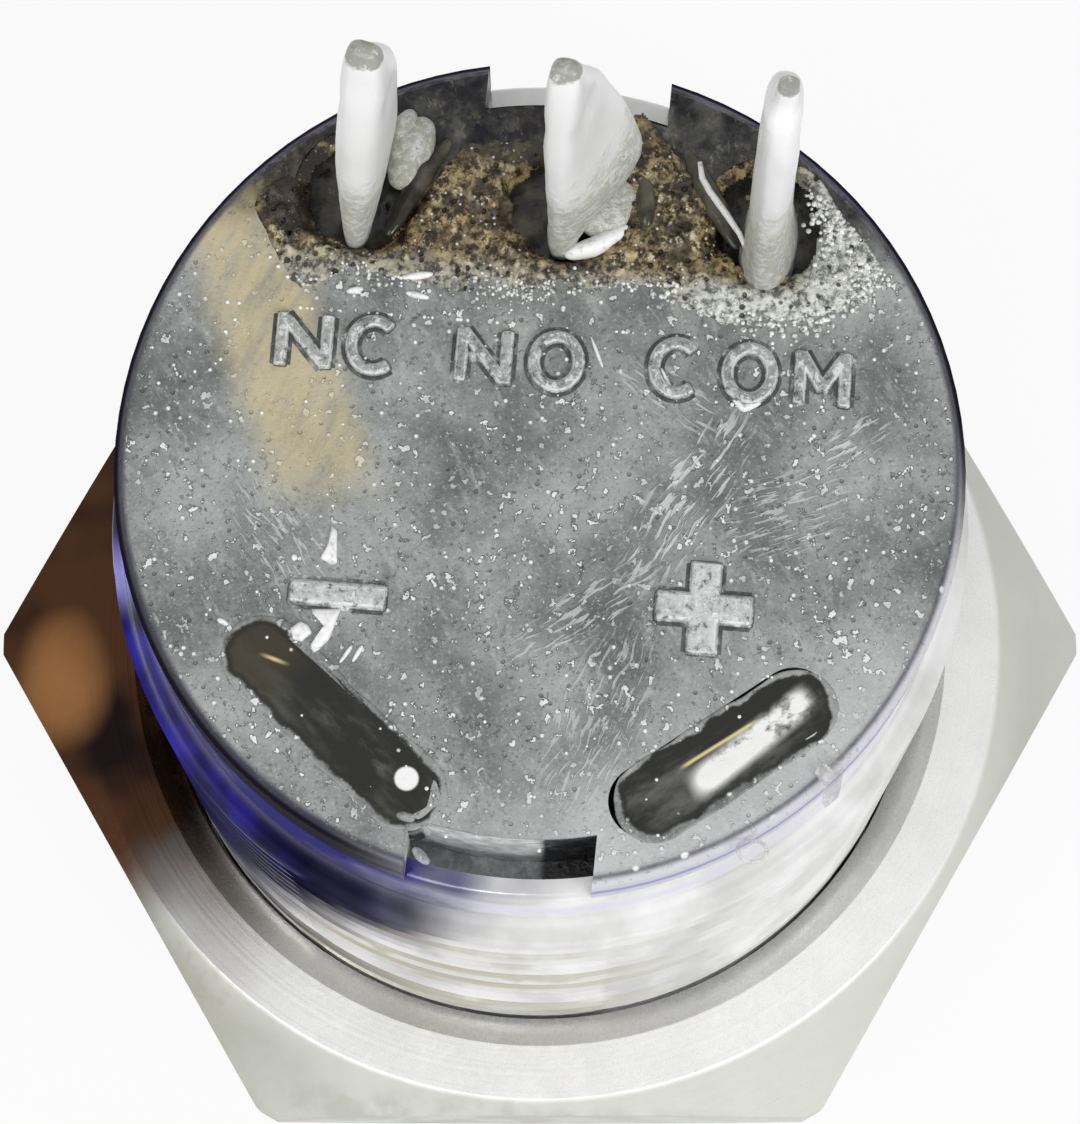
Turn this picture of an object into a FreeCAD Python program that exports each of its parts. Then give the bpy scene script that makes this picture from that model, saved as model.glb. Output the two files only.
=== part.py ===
import FreeCAD, Part
import math
import os

# Momentary push button with a 19 mm metal housing, for a door bell.
# Frame: Z is the button's axis, z = 0 is the front rim of the bezel, +Z runs to the rear, where the
# solder terminals stand. The three terminals lie on the +Y side, the two keyways on +Y and -Y.
# All lengths are in millimetres.

# Fits that several pieces share
RUNNING_GAP = 0.05        # radial gap of a piece that slides or turns in another
SEAT_GAP = 0.05           # axial gap between loose pieces that lie on each other
PLUG_GAP = 0.03           # radial gap of a fixed piece in its bore
CONTACT_GAP = 0.04        # gap left between two contact faces that meet

# Housing, turned from bar
THREAD_D = 19.0
HOUSING_H = 24.3
BEZEL_LIP = 1.5           # from the thread to the bezel's outside
BEZEL_H = 2.0
BEZEL_EDGE = 0.6
NECK_STEP = 0.6           # the plain neck is this much lower than the thread
NECK_L = 2.8
RIM_EDGE = 0.12
MOUTH_WALL = 0.45         # wall of the neck round the base
MOUTH_STEP = 0.35         # ledge inside the mouth that the base comes down to
MOUTH_DEPTH = 5.3
CAP_LIP = 0.85            # lip at the front that holds the cap in
CAP_LAND = 3.0

# Gasket, lock washer and nut behind the bezel
GASKET_T = 1.6
GASKET_W = 1.2
WASHER_T = 0.6
WASHER_W = 1.7
WASHER_TEETH = 16
TOOTH_SLOT_W = 1.1
TOOTH_SLOT_DEPTH = 0.75
NUT_WALL = 2.5            # from the thread to a flat
NUT_T = 3.0
NUT_TURN = 4.5            # degrees from a corner on +X
NUT_FACE_EDGE = 0.4       # the round end faces stop this far inside the flats
NUT_CHAMFER_DEG = 18.0
NUT_CORNER_CUT = 0.15     # corners turned down by this much
NUT_COUNTERSINK = 0.75

# Push cap and its seal
CAP_RECESS = 0.3
CAP_DISH = 0.35
CAP_EDGE = 0.35
CAP_FLANGE_GAP = 0.15
CAP_FLANGE_T = 1.0
CAP_BOSS_D = 6.4
CAP_BOSS_H = 2.9
SEAL_WIRE = 0.9
SEAL_FROM_FRONT = 0.9
TRAVEL = 2.0

# Plunger, carrier and return spring
PLUNGER_D = 4.6
SPIGOT_D = 4.0
SPIGOT_L = 4.4
TIP_D = 3.0
TIP_L = 1.9
CARRIER_D = 6.0
CARRIER_H = 2.6
ARM_W = 1.8
ARM_T = 1.0
SPRING_POST_D = 0.8
SPRING_POST_H = 0.5
RETURN_COIL_D = 9.2
RETURN_WIRE = 0.8
RETURN_PITCH = 1.58

# Guide plate in front of the contact chamber
PLATE_T = 1.2
PLATE_COLLAR_GAP = 0.4    # from the collar to the return spring round it
PLATE_COLLAR_H = 0.8
CARRIER_CLEARANCE = 0.4

# Moulded base
HEAD_T = 1.7
HEAD_EDGE = 0.27
ROOF_T = 3.6              # from the chamber's roof to the rear face
CHAMBER_H = 9.2
CHAMBER_WALL = 0.75
CHAMBER_END = 0.75        # the chamber's flat ends stand this far inside its round wall
CHAMBER_LEG_ROOM = 0.3
KEYWAY_W = 3.9
KEYWAY_DEPTH = 1.05
KEYWAY_H = 3.4
KEYWAY_TURN = -1.3        # degrees; the keyways stand a little off the terminal row
BASE_SEAL_WIRE = 0.66
BASE_SEAL_FROM_RIM = 3.2
ROW_SHIFT = 0.1           # terminals and slots sit this far to +X of the axis
WELL_D = 2.95
WELL_DEPTH = 1.4
WELL_FROM_EDGE = 3.3      # from the head's outside to the wells' row, along Y
SLOT_FROM_EDGE = 1.87     # from the head's outside to a slot's middle, along its radius
SLOT_AT_DEG = 35.2        # a slot's middle stands this far round from -Y
SLOT_L = 3.7              # between the centres of its round ends
SLOT_W = 1.5
SLOT_DEG = 38.0
SLOT_DEPTH = 2.4
EPOXY_SINK = 0.15
POTTING_T = 0.8

# Terminals: a solder tab outside, a narrow leg inside and a bent foot
TERMINAL_PITCH = 4.3
TERMINAL_T = 0.5
TAB_W = 2.75
TAB_H = 10.6
TAB_TIP_W = 1.5
TAB_TAPER = 3.2
TAB_HOLE_D = 1.1
TAB_HOLE_FROM_TIP = 2.2
LEG_W = 1.5
LEG_OFFSET = 0.75         # the leg stands this far inside the tab's middle
TAB_TWIST_DEG = {"nc": 7.0, "no": 9.0, "com": 3.0}
TAB_LEAN_DEG = {"nc": 1.0, "no": -1.5, "com": 0.0}

# Snap blade, its contacts and its two small springs
PIVOT_FROM_ROOF = 4.2
BLADE_T = 0.3
BLADE_W = 1.4
ROLL_D = 0.6              # the blade's tail is curled into a roll that rocks on the common foot
BLADE_SWING_DEG = 9.0
CONTACT_FROM_NC = 1.3
CONTACT_D = 1.6
MOVING_CONTACT_T = 0.35
FOOT_T = 0.4
FOOT_OVERHANG = 0.8
FIXED_CONTACT_H = 0.72
CONTACT_CROWN = 0.12
CONTACT_COIL_FROM_PIVOT = 2.9
BLADE_COIL_FROM_PIVOT = 1.5
SMALL_COIL_D = 1.3
SMALL_WIRE = 0.2
SMALL_PITCH = 0.75

# Diameters that follow from the thread, outside in
BEZEL_D = THREAD_D + 2 * BEZEL_LIP
GASKET_D = THREAD_D + 2 * GASKET_W
WASHER_D = THREAD_D + 2 * WASHER_W
NUT_AF = THREAD_D + 2 * NUT_WALL
NUT_FACE_D = NUT_AF - 2 * NUT_FACE_EDGE
NECK_D = THREAD_D - 2 * NECK_STEP
MOUTH_D = NECK_D - 2 * MOUTH_WALL
BORE_D = MOUTH_D - 2 * MOUTH_STEP
CAP_BORE_D = BORE_D - 2 * CAP_LIP
CAP_FLANGE_D = BORE_D - 2 * CAP_FLANGE_GAP
CHAMBER_D = BORE_D - 2 * CHAMBER_WALL
PLATE_COLLAR_D = RETURN_COIL_D - RETURN_WIRE - 2 * PLATE_COLLAR_GAP

# Places that follow from the sizes above; the base and all that it carries hang from the housing's rim
GASKET_Z = BEZEL_H
WASHER_Z = GASKET_Z + GASKET_T + SEAT_GAP
NUT_Z = WASHER_Z + WASHER_T + SEAT_GAP
CAP_FLANGE_Z = CAP_LAND + SEAT_GAP
CAP_BOSS_Z = CAP_FLANGE_Z + CAP_FLANGE_T
SPIGOT_TOP_Z = CAP_BOSS_Z + CAP_BOSS_H
REAR_Z = HOUSING_H + HEAD_T
ROOF_Z = REAR_Z - ROOF_T
CHAMBER_Z = ROOF_Z - CHAMBER_H
PLATE_Z = CHAMBER_Z - PLATE_T
CARRIER_Z = CHAMBER_Z + CARRIER_CLEARANCE
PIVOT_Z = ROOF_Z - PIVOT_FROM_ROOF
WELL_FLOOR_Z = REAR_Z - WELL_DEPTH
LEG_TOP_Z = WELL_FLOOR_Z + POTTING_T / 2
MOUTH_Z = HOUSING_H - MOUTH_DEPTH
THREAD_END_Z = HOUSING_H - NECK_L
BASE_SEAL_Z = HOUSING_H - BASE_SEAL_FROM_RIM
WELL_Y = NECK_D / 2 - WELL_FROM_EDGE
LEG_Y = WELL_Y - LEG_OFFSET
SLOT_R = NECK_D / 2 - SLOT_FROM_EDGE
SLOT_X = SLOT_R * math.sin(math.radians(SLOT_AT_DEG))
SLOT_Y = -SLOT_R * math.cos(math.radians(SLOT_AT_DEG))
CHAMBER_X = CHAMBER_D / 2 - CHAMBER_END
CHAMBER_Y_LOW = -CARRIER_D / 2 - CARRIER_CLEARANCE
CHAMBER_Y_HIGH = LEG_Y + LEG_W / 2 + CHAMBER_LEG_ROOM
TERMINAL_X = {"nc": ROW_SHIFT - TERMINAL_PITCH, "no": ROW_SHIFT, "com": ROW_SHIFT + TERMINAL_PITCH}
PIVOT_X = TERMINAL_X["com"] - TERMINAL_T / 2 - SEAT_GAP - ROLL_D / 2
CONTACT_X = TERMINAL_X["nc"] + CONTACT_FROM_NC
CONTACT_COIL_X = PIVOT_X - CONTACT_COIL_FROM_PIVOT
BLADE_COIL_X = PIVOT_X - BLADE_COIL_FROM_PIVOT

# Places of the contacts, from the blade's swing about its pivot
HALF_SWING = math.radians(BLADE_SWING_DEG / 2)
CONTACT_ARM = PIVOT_X - CONTACT_X
CONTACT_HALF_T = BLADE_T / 2 + MOVING_CONTACT_T
CONTACT_REST_Z = PIVOT_Z - CONTACT_ARM * math.tan(HALF_SWING)
CONTACT_MADE_Z = PIVOT_Z + CONTACT_ARM * math.tan(HALF_SWING)
NC_FACE_Z = CONTACT_REST_Z - CONTACT_HALF_T / math.cos(HALF_SWING) - CONTACT_GAP
NO_FACE_Z = CONTACT_MADE_Z + CONTACT_HALF_T / math.cos(HALF_SWING) + CONTACT_GAP
NC_FOOT_Z = NC_FACE_Z - FIXED_CONTACT_H - FOOT_T
NO_FOOT_Z = NO_FACE_Z + FIXED_CONTACT_H
COM_FOOT_Z = PIVOT_Z - ROLL_D / 2 - SEAT_GAP - FOOT_T

AXIS_Z = FreeCAD.Vector(0, 0, 1)
ORIGIN = FreeCAD.Vector(0, 0, 0)


def cylinder(diameter, z_low, z_high, x=0.0, y=0.0):
    """Upright round bar between two heights."""
    return Part.makeCylinder(diameter / 2, z_high - z_low, FreeCAD.Vector(x, y, z_low))


def block(x_low, x_high, y_low, y_high, z_low, z_high):
    """Box between two corners."""
    corner = FreeCAD.Vector(x_low, y_low, z_low)
    return Part.makeBox(x_high - x_low, y_high - y_low, z_high - z_low, corner)


def turned(outline):
    """Solid of revolution about Z from (radius, z) points, or ready edges, in order."""
    points = [FreeCAD.Vector(radius, 0, z) for radius, z in outline]
    face = Part.Face(Part.makePolygon(points + points[:1]))
    return face.revolve(ORIGIN, AXIS_Z, 360)


def ring(inner_d, outer_d, z_low, z_high):
    """Flat washer shape."""
    return cylinder(outer_d, z_low, z_high).cut(cylinder(inner_d, z_low, z_high))


def o_ring(wire_d, outer_d, z_middle):
    """Rubber ring of round section whose outermost diameter is outer_d."""
    return Part.makeTorus((outer_d - wire_d) / 2, wire_d / 2, FreeCAD.Vector(0, 0, z_middle))


def coil(coil_d, wire_d, pitch, z_low, z_high, x=0.0, y=0.0):
    """Compression spring whose wire lies between two heights; coil_d is measured at the wire's middle."""
    helix = Part.makeLongHelix(pitch, z_high - z_low - wire_d, coil_d / 2)
    start = FreeCAD.Vector(coil_d / 2, 0, 0)
    section = Part.Wire([Part.makeCircle(wire_d / 2, start, FreeCAD.Vector(0, 1, 0))])
    spring = helix.makePipeShell([section], True, True)
    spring.translate(FreeCAD.Vector(x, y, z_low + wire_d / 2))
    return spring


def small_coil(z_low, z_high, x):
    """Spring in the switch: the whole number of turns whose pitch is nearest to the small pitch."""
    rise = z_high - z_low - SMALL_WIRE
    pitch = rise / max(1, round(rise / SMALL_PITCH))
    return coil(SMALL_COIL_D, SMALL_WIRE, pitch, z_low, z_high, x, LEG_Y)


def stadium(length, width, z_low, z_high, x, y, degrees):
    """Upright bar with the outline of a slot: two round ends, length apart, turned about its middle."""
    bar = block(-length / 2, length / 2, -width / 2, width / 2, z_low, z_high)
    for end in (-length / 2, length / 2):
        bar = bar.fuse(cylinder(width, z_low, z_high, end, 0))
    bar = bar.removeSplitter()
    bar.rotate(ORIGIN, AXIS_Z, degrees)
    bar.translate(FreeCAD.Vector(x, y, 0))
    return bar


def housing():
    """Turned metal housing: bezel, thread land, neck, and a stepped bore from the front to the rear."""
    bezel_r, thread_r, neck_r = BEZEL_D / 2, THREAD_D / 2, NECK_D / 2
    run_out = thread_r - neck_r
    return turned([
        (CAP_BORE_D / 2, 0),
        (bezel_r - BEZEL_EDGE, 0),
        (bezel_r, BEZEL_EDGE),
        (bezel_r, BEZEL_H),
        (thread_r, BEZEL_H),
        (thread_r, THREAD_END_Z - run_out),
        (neck_r, THREAD_END_Z),
        (neck_r, HOUSING_H - RIM_EDGE),
        (neck_r - RIM_EDGE, HOUSING_H),
        (MOUTH_D / 2, HOUSING_H),
        (MOUTH_D / 2, MOUTH_Z),
        (BORE_D / 2, MOUTH_Z),
        (BORE_D / 2, CAP_LAND),
        (CAP_BORE_D / 2, CAP_LAND),
    ])


def panel_gasket():
    """Flat rubber ring that seals the bezel on the panel."""
    return ring(THREAD_D + 2 * RUNNING_GAP, GASKET_D, GASKET_Z, GASKET_Z + GASKET_T)


def lock_washer():
    """Thin spring-steel washer with radial slots between its outer teeth."""
    washer = ring(THREAD_D + 2 * RUNNING_GAP, WASHER_D, WASHER_Z, WASHER_Z + WASHER_T)
    slot = block(WASHER_D / 2 - TOOTH_SLOT_DEPTH, WASHER_D, -TOOTH_SLOT_W / 2, TOOTH_SLOT_W / 2,
                 WASHER_Z, WASHER_Z + WASHER_T)
    slots = []
    for tooth in range(WASHER_TEETH):
        turned_slot = slot.copy()
        turned_slot.rotate(ORIGIN, AXIS_Z, 360 * tooth / WASHER_TEETH)
        slots.append(turned_slot)
    return washer.cut(slots)


def hex_nut():
    """Thin hexagon nut: corners chamfered on both faces, bore countersunk on both faces."""
    corner_r = NUT_AF / 2 / math.cos(math.radians(30))
    corners = [FreeCAD.Vector(corner_r * math.cos(math.radians(60 * k)),
                              corner_r * math.sin(math.radians(60 * k)), NUT_Z) for k in range(7)]
    prism = Part.Face(Part.makePolygon(corners)).extrude(FreeCAD.Vector(0, 0, NUT_T))
    turned_r = corner_r - NUT_CORNER_CUT
    drop = (turned_r - NUT_FACE_D / 2) * math.tan(math.radians(NUT_CHAMFER_DEG))
    bore_r = THREAD_D / 2 + RUNNING_GAP
    top = NUT_Z + NUT_T
    body = turned([
        (bore_r + NUT_COUNTERSINK, NUT_Z),
        (NUT_FACE_D / 2, NUT_Z),
        (turned_r, NUT_Z + drop),
        (turned_r, top - drop),
        (NUT_FACE_D / 2, top),
        (bore_r + NUT_COUNTERSINK, top),
        (bore_r, top - NUT_COUNTERSINK),
        (bore_r, NUT_Z + NUT_COUNTERSINK),
    ])
    nut = prism.common(body)
    nut.rotate(ORIGIN, AXIS_Z, NUT_TURN)
    return nut


def push_cap():
    """Metal cap: dished front, seal groove, stop flange and a boss with a blind socket for the plunger."""
    cap_r = CAP_BORE_D / 2 - RUNNING_GAP
    flange_top = CAP_FLANGE_Z + CAP_FLANGE_T
    socket_floor = SPIGOT_TOP_Z - SPIGOT_L
    groove_low = CAP_RECESS + SEAL_FROM_FRONT
    groove_r = cap_r - SEAL_WIRE
    rim = FreeCAD.Vector(cap_r - CAP_EDGE, 0, CAP_RECESS)
    middle = FreeCAD.Vector(0, 0, CAP_RECESS + CAP_DISH)
    between = FreeCAD.Vector((cap_r - CAP_EDGE) / 2, 0, CAP_RECESS + CAP_DISH * 0.75)
    dish = Part.Arc(middle, between, rim).toShape()
    rest = [FreeCAD.Vector(radius, 0, z) for radius, z in [
        (cap_r - CAP_EDGE, CAP_RECESS),
        (cap_r, CAP_RECESS + CAP_EDGE),
        (cap_r, groove_low),
        (groove_r, groove_low),
        (groove_r, groove_low + SEAL_WIRE),
        (cap_r, groove_low + SEAL_WIRE),
        (cap_r, CAP_FLANGE_Z),
        (CAP_FLANGE_D / 2, CAP_FLANGE_Z),
        (CAP_FLANGE_D / 2, flange_top),
        (CAP_BOSS_D / 2, flange_top),
        (CAP_BOSS_D / 2, SPIGOT_TOP_Z),
        (SPIGOT_D / 2 + PLUG_GAP, SPIGOT_TOP_Z),
        (SPIGOT_D / 2 + PLUG_GAP, socket_floor),
        (0, socket_floor),
        (0, CAP_RECESS + CAP_DISH),
    ]]
    outline = Part.Wire([dish] + Part.makePolygon(rest).Edges)
    return Part.Face(outline).revolve(ORIGIN, AXIS_Z, 360)


def cap_seal():
    """Rubber ring in the cap's groove, wiping the front bore."""
    z_middle = CAP_RECESS + SEAL_FROM_FRONT + SEAL_WIRE / 2
    return o_ring(SEAL_WIRE - 2 * PLUG_GAP, CAP_BORE_D - 2 * PLUG_GAP, z_middle)


def plunger():
    """Moulded pin: spigot in the cap, shaft through the guide plate, tip in the contact carrier."""
    spigot = cylinder(SPIGOT_D, SPIGOT_TOP_Z - SPIGOT_L, SPIGOT_TOP_Z)
    shaft = cylinder(PLUNGER_D, SPIGOT_TOP_Z, CARRIER_Z)
    tip = cylinder(TIP_D, CARRIER_Z, CARRIER_Z + TIP_L)
    return spigot.fuse([shaft, tip]).removeSplitter()


def return_spring():
    """Coil between the cap's flange and the guide plate."""
    return coil(RETURN_COIL_D, RETURN_WIRE, RETURN_PITCH, CAP_BOSS_Z + SEAT_GAP, PLATE_Z)


def contact_carrier():
    """Moulded hub on the plunger's tip, with an arm that carries the contact spring on a post."""
    hub = cylinder(CARRIER_D, CARRIER_Z, CARRIER_Z + CARRIER_H)
    arm = block(CONTACT_COIL_X - ARM_W / 2, CONTACT_COIL_X + ARM_W / 2, 0, LEG_Y + LEG_W / 2,
                CARRIER_Z, CARRIER_Z + ARM_T)
    post_low = CARRIER_Z + ARM_T
    post = cylinder(SPRING_POST_D, post_low, post_low + SPRING_POST_H, CONTACT_COIL_X, LEG_Y)
    tip_hole = cylinder(TIP_D + 2 * PLUG_GAP, CARRIER_Z, CARRIER_Z + TIP_L + PLUG_GAP)
    return hub.fuse([arm, post]).removeSplitter().cut(tip_hole)


def guide_plate():
    """Moulded disc that closes the contact chamber, guides the plunger and seats the return spring."""
    disc = cylinder(BORE_D - 2 * PLUG_GAP, PLATE_Z, PLATE_Z + PLATE_T)
    collar = cylinder(PLATE_COLLAR_D, PLATE_Z - PLATE_COLLAR_H, PLATE_Z)
    hole = cylinder(PLUNGER_D + 2 * RUNNING_GAP, PLATE_Z - PLATE_COLLAR_H, PLATE_Z + PLATE_T)
    return disc.fuse(collar).cut(hole)


def keyways():
    """Two cuts on +Y and -Y whose floors are arcs about the axis."""
    floor_d = NECK_D - 2 * KEYWAY_DEPTH
    low = REAR_Z - KEYWAY_H
    bar = block(-KEYWAY_W / 2, KEYWAY_W / 2, -NECK_D, NECK_D, low, REAR_Z)
    cut = bar.cut(cylinder(floor_d, low, REAR_Z))
    cut.rotate(ORIGIN, AXIS_Z, KEYWAY_TURN)
    return cut


def slot_fill(side, depth, sink=0.0, gap=0.0):
    """Bar of a lamp-lead slot on one side of the rear face: side is -1 at the minus mark, +1 at plus."""
    return stadium(SLOT_L, SLOT_W - 2 * gap, REAR_Z - depth, REAR_Z - sink,
                   ROW_SHIFT + side * SLOT_X, SLOT_Y, side * SLOT_DEG)


def leg_outline(name, z_low, z_high, gap=0.0):
    """Straight run of a terminal's leg between two heights."""
    x = TERMINAL_X[name]
    half_t, half_w = TERMINAL_T / 2 + gap, LEG_W / 2 + gap
    return block(x - half_t, x + half_t, LEG_Y - half_w, LEG_Y + half_w, z_low, z_high)


def base():
    """Moulded base: stepped plug, head with keyways, terminal wells, lamp slots and contact chamber."""
    body_r = BORE_D / 2 - PLUG_GAP
    plug_r = MOUTH_D / 2 - PLUG_GAP
    head_r = NECK_D / 2
    groove_r = plug_r - BASE_SEAL_WIRE
    plug = turned([
        (0, CHAMBER_Z),
        (body_r, CHAMBER_Z),
        (body_r, MOUTH_Z + SEAT_GAP),
        (plug_r, MOUTH_Z + SEAT_GAP),
        (plug_r, BASE_SEAL_Z - BASE_SEAL_WIRE / 2),
        (groove_r, BASE_SEAL_Z - BASE_SEAL_WIRE / 2),
        (groove_r, BASE_SEAL_Z + BASE_SEAL_WIRE / 2),
        (plug_r, BASE_SEAL_Z + BASE_SEAL_WIRE / 2),
        (plug_r, HOUSING_H),
        (head_r, HOUSING_H),
        (head_r, REAR_Z - HEAD_EDGE),
        (head_r - HEAD_EDGE, REAR_Z),
        (0, REAR_Z),
    ])
    chamber = block(-CHAMBER_X, CHAMBER_X, CHAMBER_Y_LOW, CHAMBER_Y_HIGH, CHAMBER_Z, ROOF_Z)
    cuts = [keyways(), chamber.common(cylinder(CHAMBER_D, CHAMBER_Z, ROOF_Z))]
    for name, x in TERMINAL_X.items():
        cuts.append(cylinder(WELL_D, WELL_FLOOR_Z, REAR_Z, x, WELL_Y))
        cuts.append(leg_outline(name, ROOF_Z, LEG_TOP_Z, PLUG_GAP))
    for side in (-1, 1):
        cuts.append(slot_fill(side, SLOT_DEPTH))
    return plug.cut(cuts)


def base_seal():
    """Rubber ring in the base's groove, against the housing's mouth."""
    return o_ring(BASE_SEAL_WIRE - 2 * PLUG_GAP, MOUTH_D - 2 * PLUG_GAP, BASE_SEAL_Z)


def solder_tab(name):
    """Outer tab of a terminal: parallel, then tapered to a round tip with a wire hole, a little twisted."""
    half_w, half_tip = TAB_W / 2, TAB_TIP_W / 2
    shoulder = TAB_H - TAB_TAPER
    points = [FreeCAD.Vector(0, y, z) for y, z in [
        (half_tip, TAB_H - half_tip), (half_w, shoulder), (half_w, 0),
        (-half_w, 0), (-half_w, shoulder), (-half_tip, TAB_H - half_tip)]]
    tip = Part.Arc(points[-1], FreeCAD.Vector(0, 0, TAB_H), points[0]).toShape()
    outline = Part.Wire(Part.makePolygon(points).Edges + [tip])
    tab = Part.Face(outline).extrude(FreeCAD.Vector(TERMINAL_T, 0, 0))
    hole = Part.makeCylinder(TAB_HOLE_D / 2, TERMINAL_T,
                             FreeCAD.Vector(0, 0, TAB_H - TAB_HOLE_FROM_TIP), FreeCAD.Vector(1, 0, 0))
    tab = tab.cut(hole)
    tab.translate(FreeCAD.Vector(-TERMINAL_T / 2, 0, 0))
    tab.rotate(ORIGIN, FreeCAD.Vector(0, 1, 0), TAB_LEAN_DEG[name])
    tab.rotate(ORIGIN, AXIS_Z, TAB_TWIST_DEG[name])
    lift = TERMINAL_T / 2 * abs(math.sin(math.radians(TAB_LEAN_DEG[name])))
    tab.translate(FreeCAD.Vector(TERMINAL_X[name], WELL_Y, WELL_FLOOR_Z + lift))
    return tab


def foot(x_low, x_high, z_low):
    """Bent end of a leg, lying across the chamber."""
    return block(x_low, x_high, LEG_Y - LEG_W / 2, LEG_Y + LEG_W / 2, z_low, z_low + FOOT_T)


def terminal_nc():
    """Terminal of the contact that is closed at rest; its foot lies in front of the blade."""
    x = TERMINAL_X["nc"]
    leg = leg_outline("nc", NC_FOOT_Z, LEG_TOP_Z)
    shelf = foot(x - TERMINAL_T / 2, CONTACT_X + FOOT_OVERHANG, NC_FOOT_Z)
    return solder_tab("nc").fuse([leg, shelf]).removeSplitter()


def terminal_no():
    """Terminal of the contact that closes when pressed; its foot lies behind the blade."""
    leg = leg_outline("no", NO_FOOT_Z, LEG_TOP_Z)
    shelf = foot(CONTACT_X - FOOT_OVERHANG, TERMINAL_X["no"] + TERMINAL_T / 2, NO_FOOT_Z)
    return solder_tab("no").fuse([leg, shelf]).removeSplitter()


def terminal_com():
    """Common terminal; the blade rocks on the end of its foot."""
    x = TERMINAL_X["com"]
    leg = leg_outline("com", COM_FOOT_Z, LEG_TOP_Z)
    shelf = foot(PIVOT_X - FOOT_OVERHANG, x + TERMINAL_T / 2, COM_FOOT_Z)
    return solder_tab("com").fuse([leg, shelf]).removeSplitter()


def fixed_contact(foot_face_z, face_z):
    """Round contact with a crowned face, riveted to a foot; it points from foot_face_z to face_z."""
    direction = math.copysign(1.0, face_z - foot_face_z)
    radius = CONTACT_D / 2
    crown_r = (radius ** 2 + CONTACT_CROWN ** 2) / (2 * CONTACT_CROWN)
    shank = cylinder(CONTACT_D, min(foot_face_z, face_z), max(foot_face_z, face_z), CONTACT_X, LEG_Y)
    crown = Part.makeSphere(crown_r, FreeCAD.Vector(CONTACT_X, LEG_Y, face_z - direction * crown_r))
    return shank.common(crown)


def nc_contact():
    """Fixed contact on the foot of the closed terminal."""
    return fixed_contact(NC_FOOT_Z + FOOT_T, NC_FACE_Z)


def no_contact():
    """Fixed contact under the foot of the open terminal."""
    return fixed_contact(NO_FOOT_Z, NO_FACE_Z)


def at_rest(shape):
    """Turns a piece of the level blade down about its pivot to where it rests."""
    pivot = FreeCAD.Vector(PIVOT_X, 0, PIVOT_Z)
    shape.rotate(pivot, FreeCAD.Vector(0, 1, 0), -BLADE_SWING_DEG / 2)
    return shape


def snap_blade():
    """Flat bronze blade from the moving contact to the round roll at its pivot."""
    strip = block(CONTACT_X - CONTACT_D / 2, PIVOT_X, LEG_Y - BLADE_W / 2, LEG_Y + BLADE_W / 2,
                  PIVOT_Z - BLADE_T / 2, PIVOT_Z + BLADE_T / 2)
    roll = Part.makeCylinder(ROLL_D / 2, BLADE_W, FreeCAD.Vector(PIVOT_X, LEG_Y - BLADE_W / 2, PIVOT_Z),
                             FreeCAD.Vector(0, 1, 0))
    return at_rest(strip.fuse(roll))


def moving_contacts():
    """The two flat contacts riveted to the blade's free end, one on each face."""
    lower = cylinder(CONTACT_D, PIVOT_Z - CONTACT_HALF_T, PIVOT_Z - BLADE_T / 2, CONTACT_X, LEG_Y)
    upper = cylinder(CONTACT_D, PIVOT_Z + BLADE_T / 2, PIVOT_Z + CONTACT_HALF_T, CONTACT_X, LEG_Y)
    return at_rest(Part.makeCompound([lower, upper]))


def blade_face_z(x, side):
    """Height of the resting blade's face over x: side is -1 for the front face, +1 for the rear."""
    fall = (PIVOT_X - x) * math.tan(HALF_SWING)
    return PIVOT_Z - fall + side * BLADE_T / 2 / math.cos(HALF_SWING)


def contact_spring():
    """Small coil on the carrier's post that lifts the blade."""
    tilt_room = SMALL_COIL_D * math.tan(HALF_SWING)
    top = blade_face_z(CONTACT_COIL_X, -1) - tilt_room
    return small_coil(CARRIER_Z + ARM_T + SEAT_GAP, top, CONTACT_COIL_X)


def blade_spring():
    """Small coil under the chamber's roof that holds the blade on the closed contact."""
    tilt_room = SMALL_COIL_D * math.tan(HALF_SWING)
    low = blade_face_z(BLADE_COIL_X, 1) + tilt_room
    return small_coil(low, ROOF_Z, BLADE_COIL_X)


def potting(name):
    """Sealing resin in the bottom of one terminal's well, round its tab."""
    fill = cylinder(WELL_D, WELL_FLOOR_Z, WELL_FLOOR_Z + POTTING_T, TERMINAL_X[name], WELL_Y)
    return fill.cut([solder_tab(name), leg_outline(name, WELL_FLOOR_Z, LEG_TOP_Z)])


def epoxy(side):
    """Resin that fills a lamp-lead slot almost to the rear face."""
    return slot_fill(side, SLOT_DEPTH, EPOXY_SINK)


PIECES = {
    "housing": housing(),
    "panel_gasket": panel_gasket(),
    "lock_washer": lock_washer(),
    "hex_nut": hex_nut(),
    "push_cap": push_cap(),
    "cap_seal": cap_seal(),
    "plunger": plunger(),
    "return_spring": return_spring(),
    "contact_carrier": contact_carrier(),
    "guide_plate": guide_plate(),
    "base": base(),
    "base_seal": base_seal(),
    "terminal_nc": terminal_nc(),
    "terminal_no": terminal_no(),
    "terminal_com": terminal_com(),
    "nc_contact": nc_contact(),
    "no_contact": no_contact(),
    "snap_blade": snap_blade(),
    "moving_contacts": moving_contacts(),
    "contact_spring": contact_spring(),
    "blade_spring": blade_spring(),
    "potting_nc": potting("nc"),
    "potting_no": potting("no"),
    "potting_com": potting("com"),
    "epoxy_minus": epoxy(-1),
    "epoxy_plus": epoxy(1),
}

os.makedirs("parts", exist_ok=True)
for piece_name, solid in PIECES.items():
    solid.exportStep(f"parts/{piece_name}.step")
    box = solid.BoundBox
    print(f"{piece_name:16s} solids {len(solid.Solids)} valid {solid.isValid()} volume {solid.Volume:9.3f} "
          f"z {box.ZMin:6.2f} to {box.ZMax:6.2f}")
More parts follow.
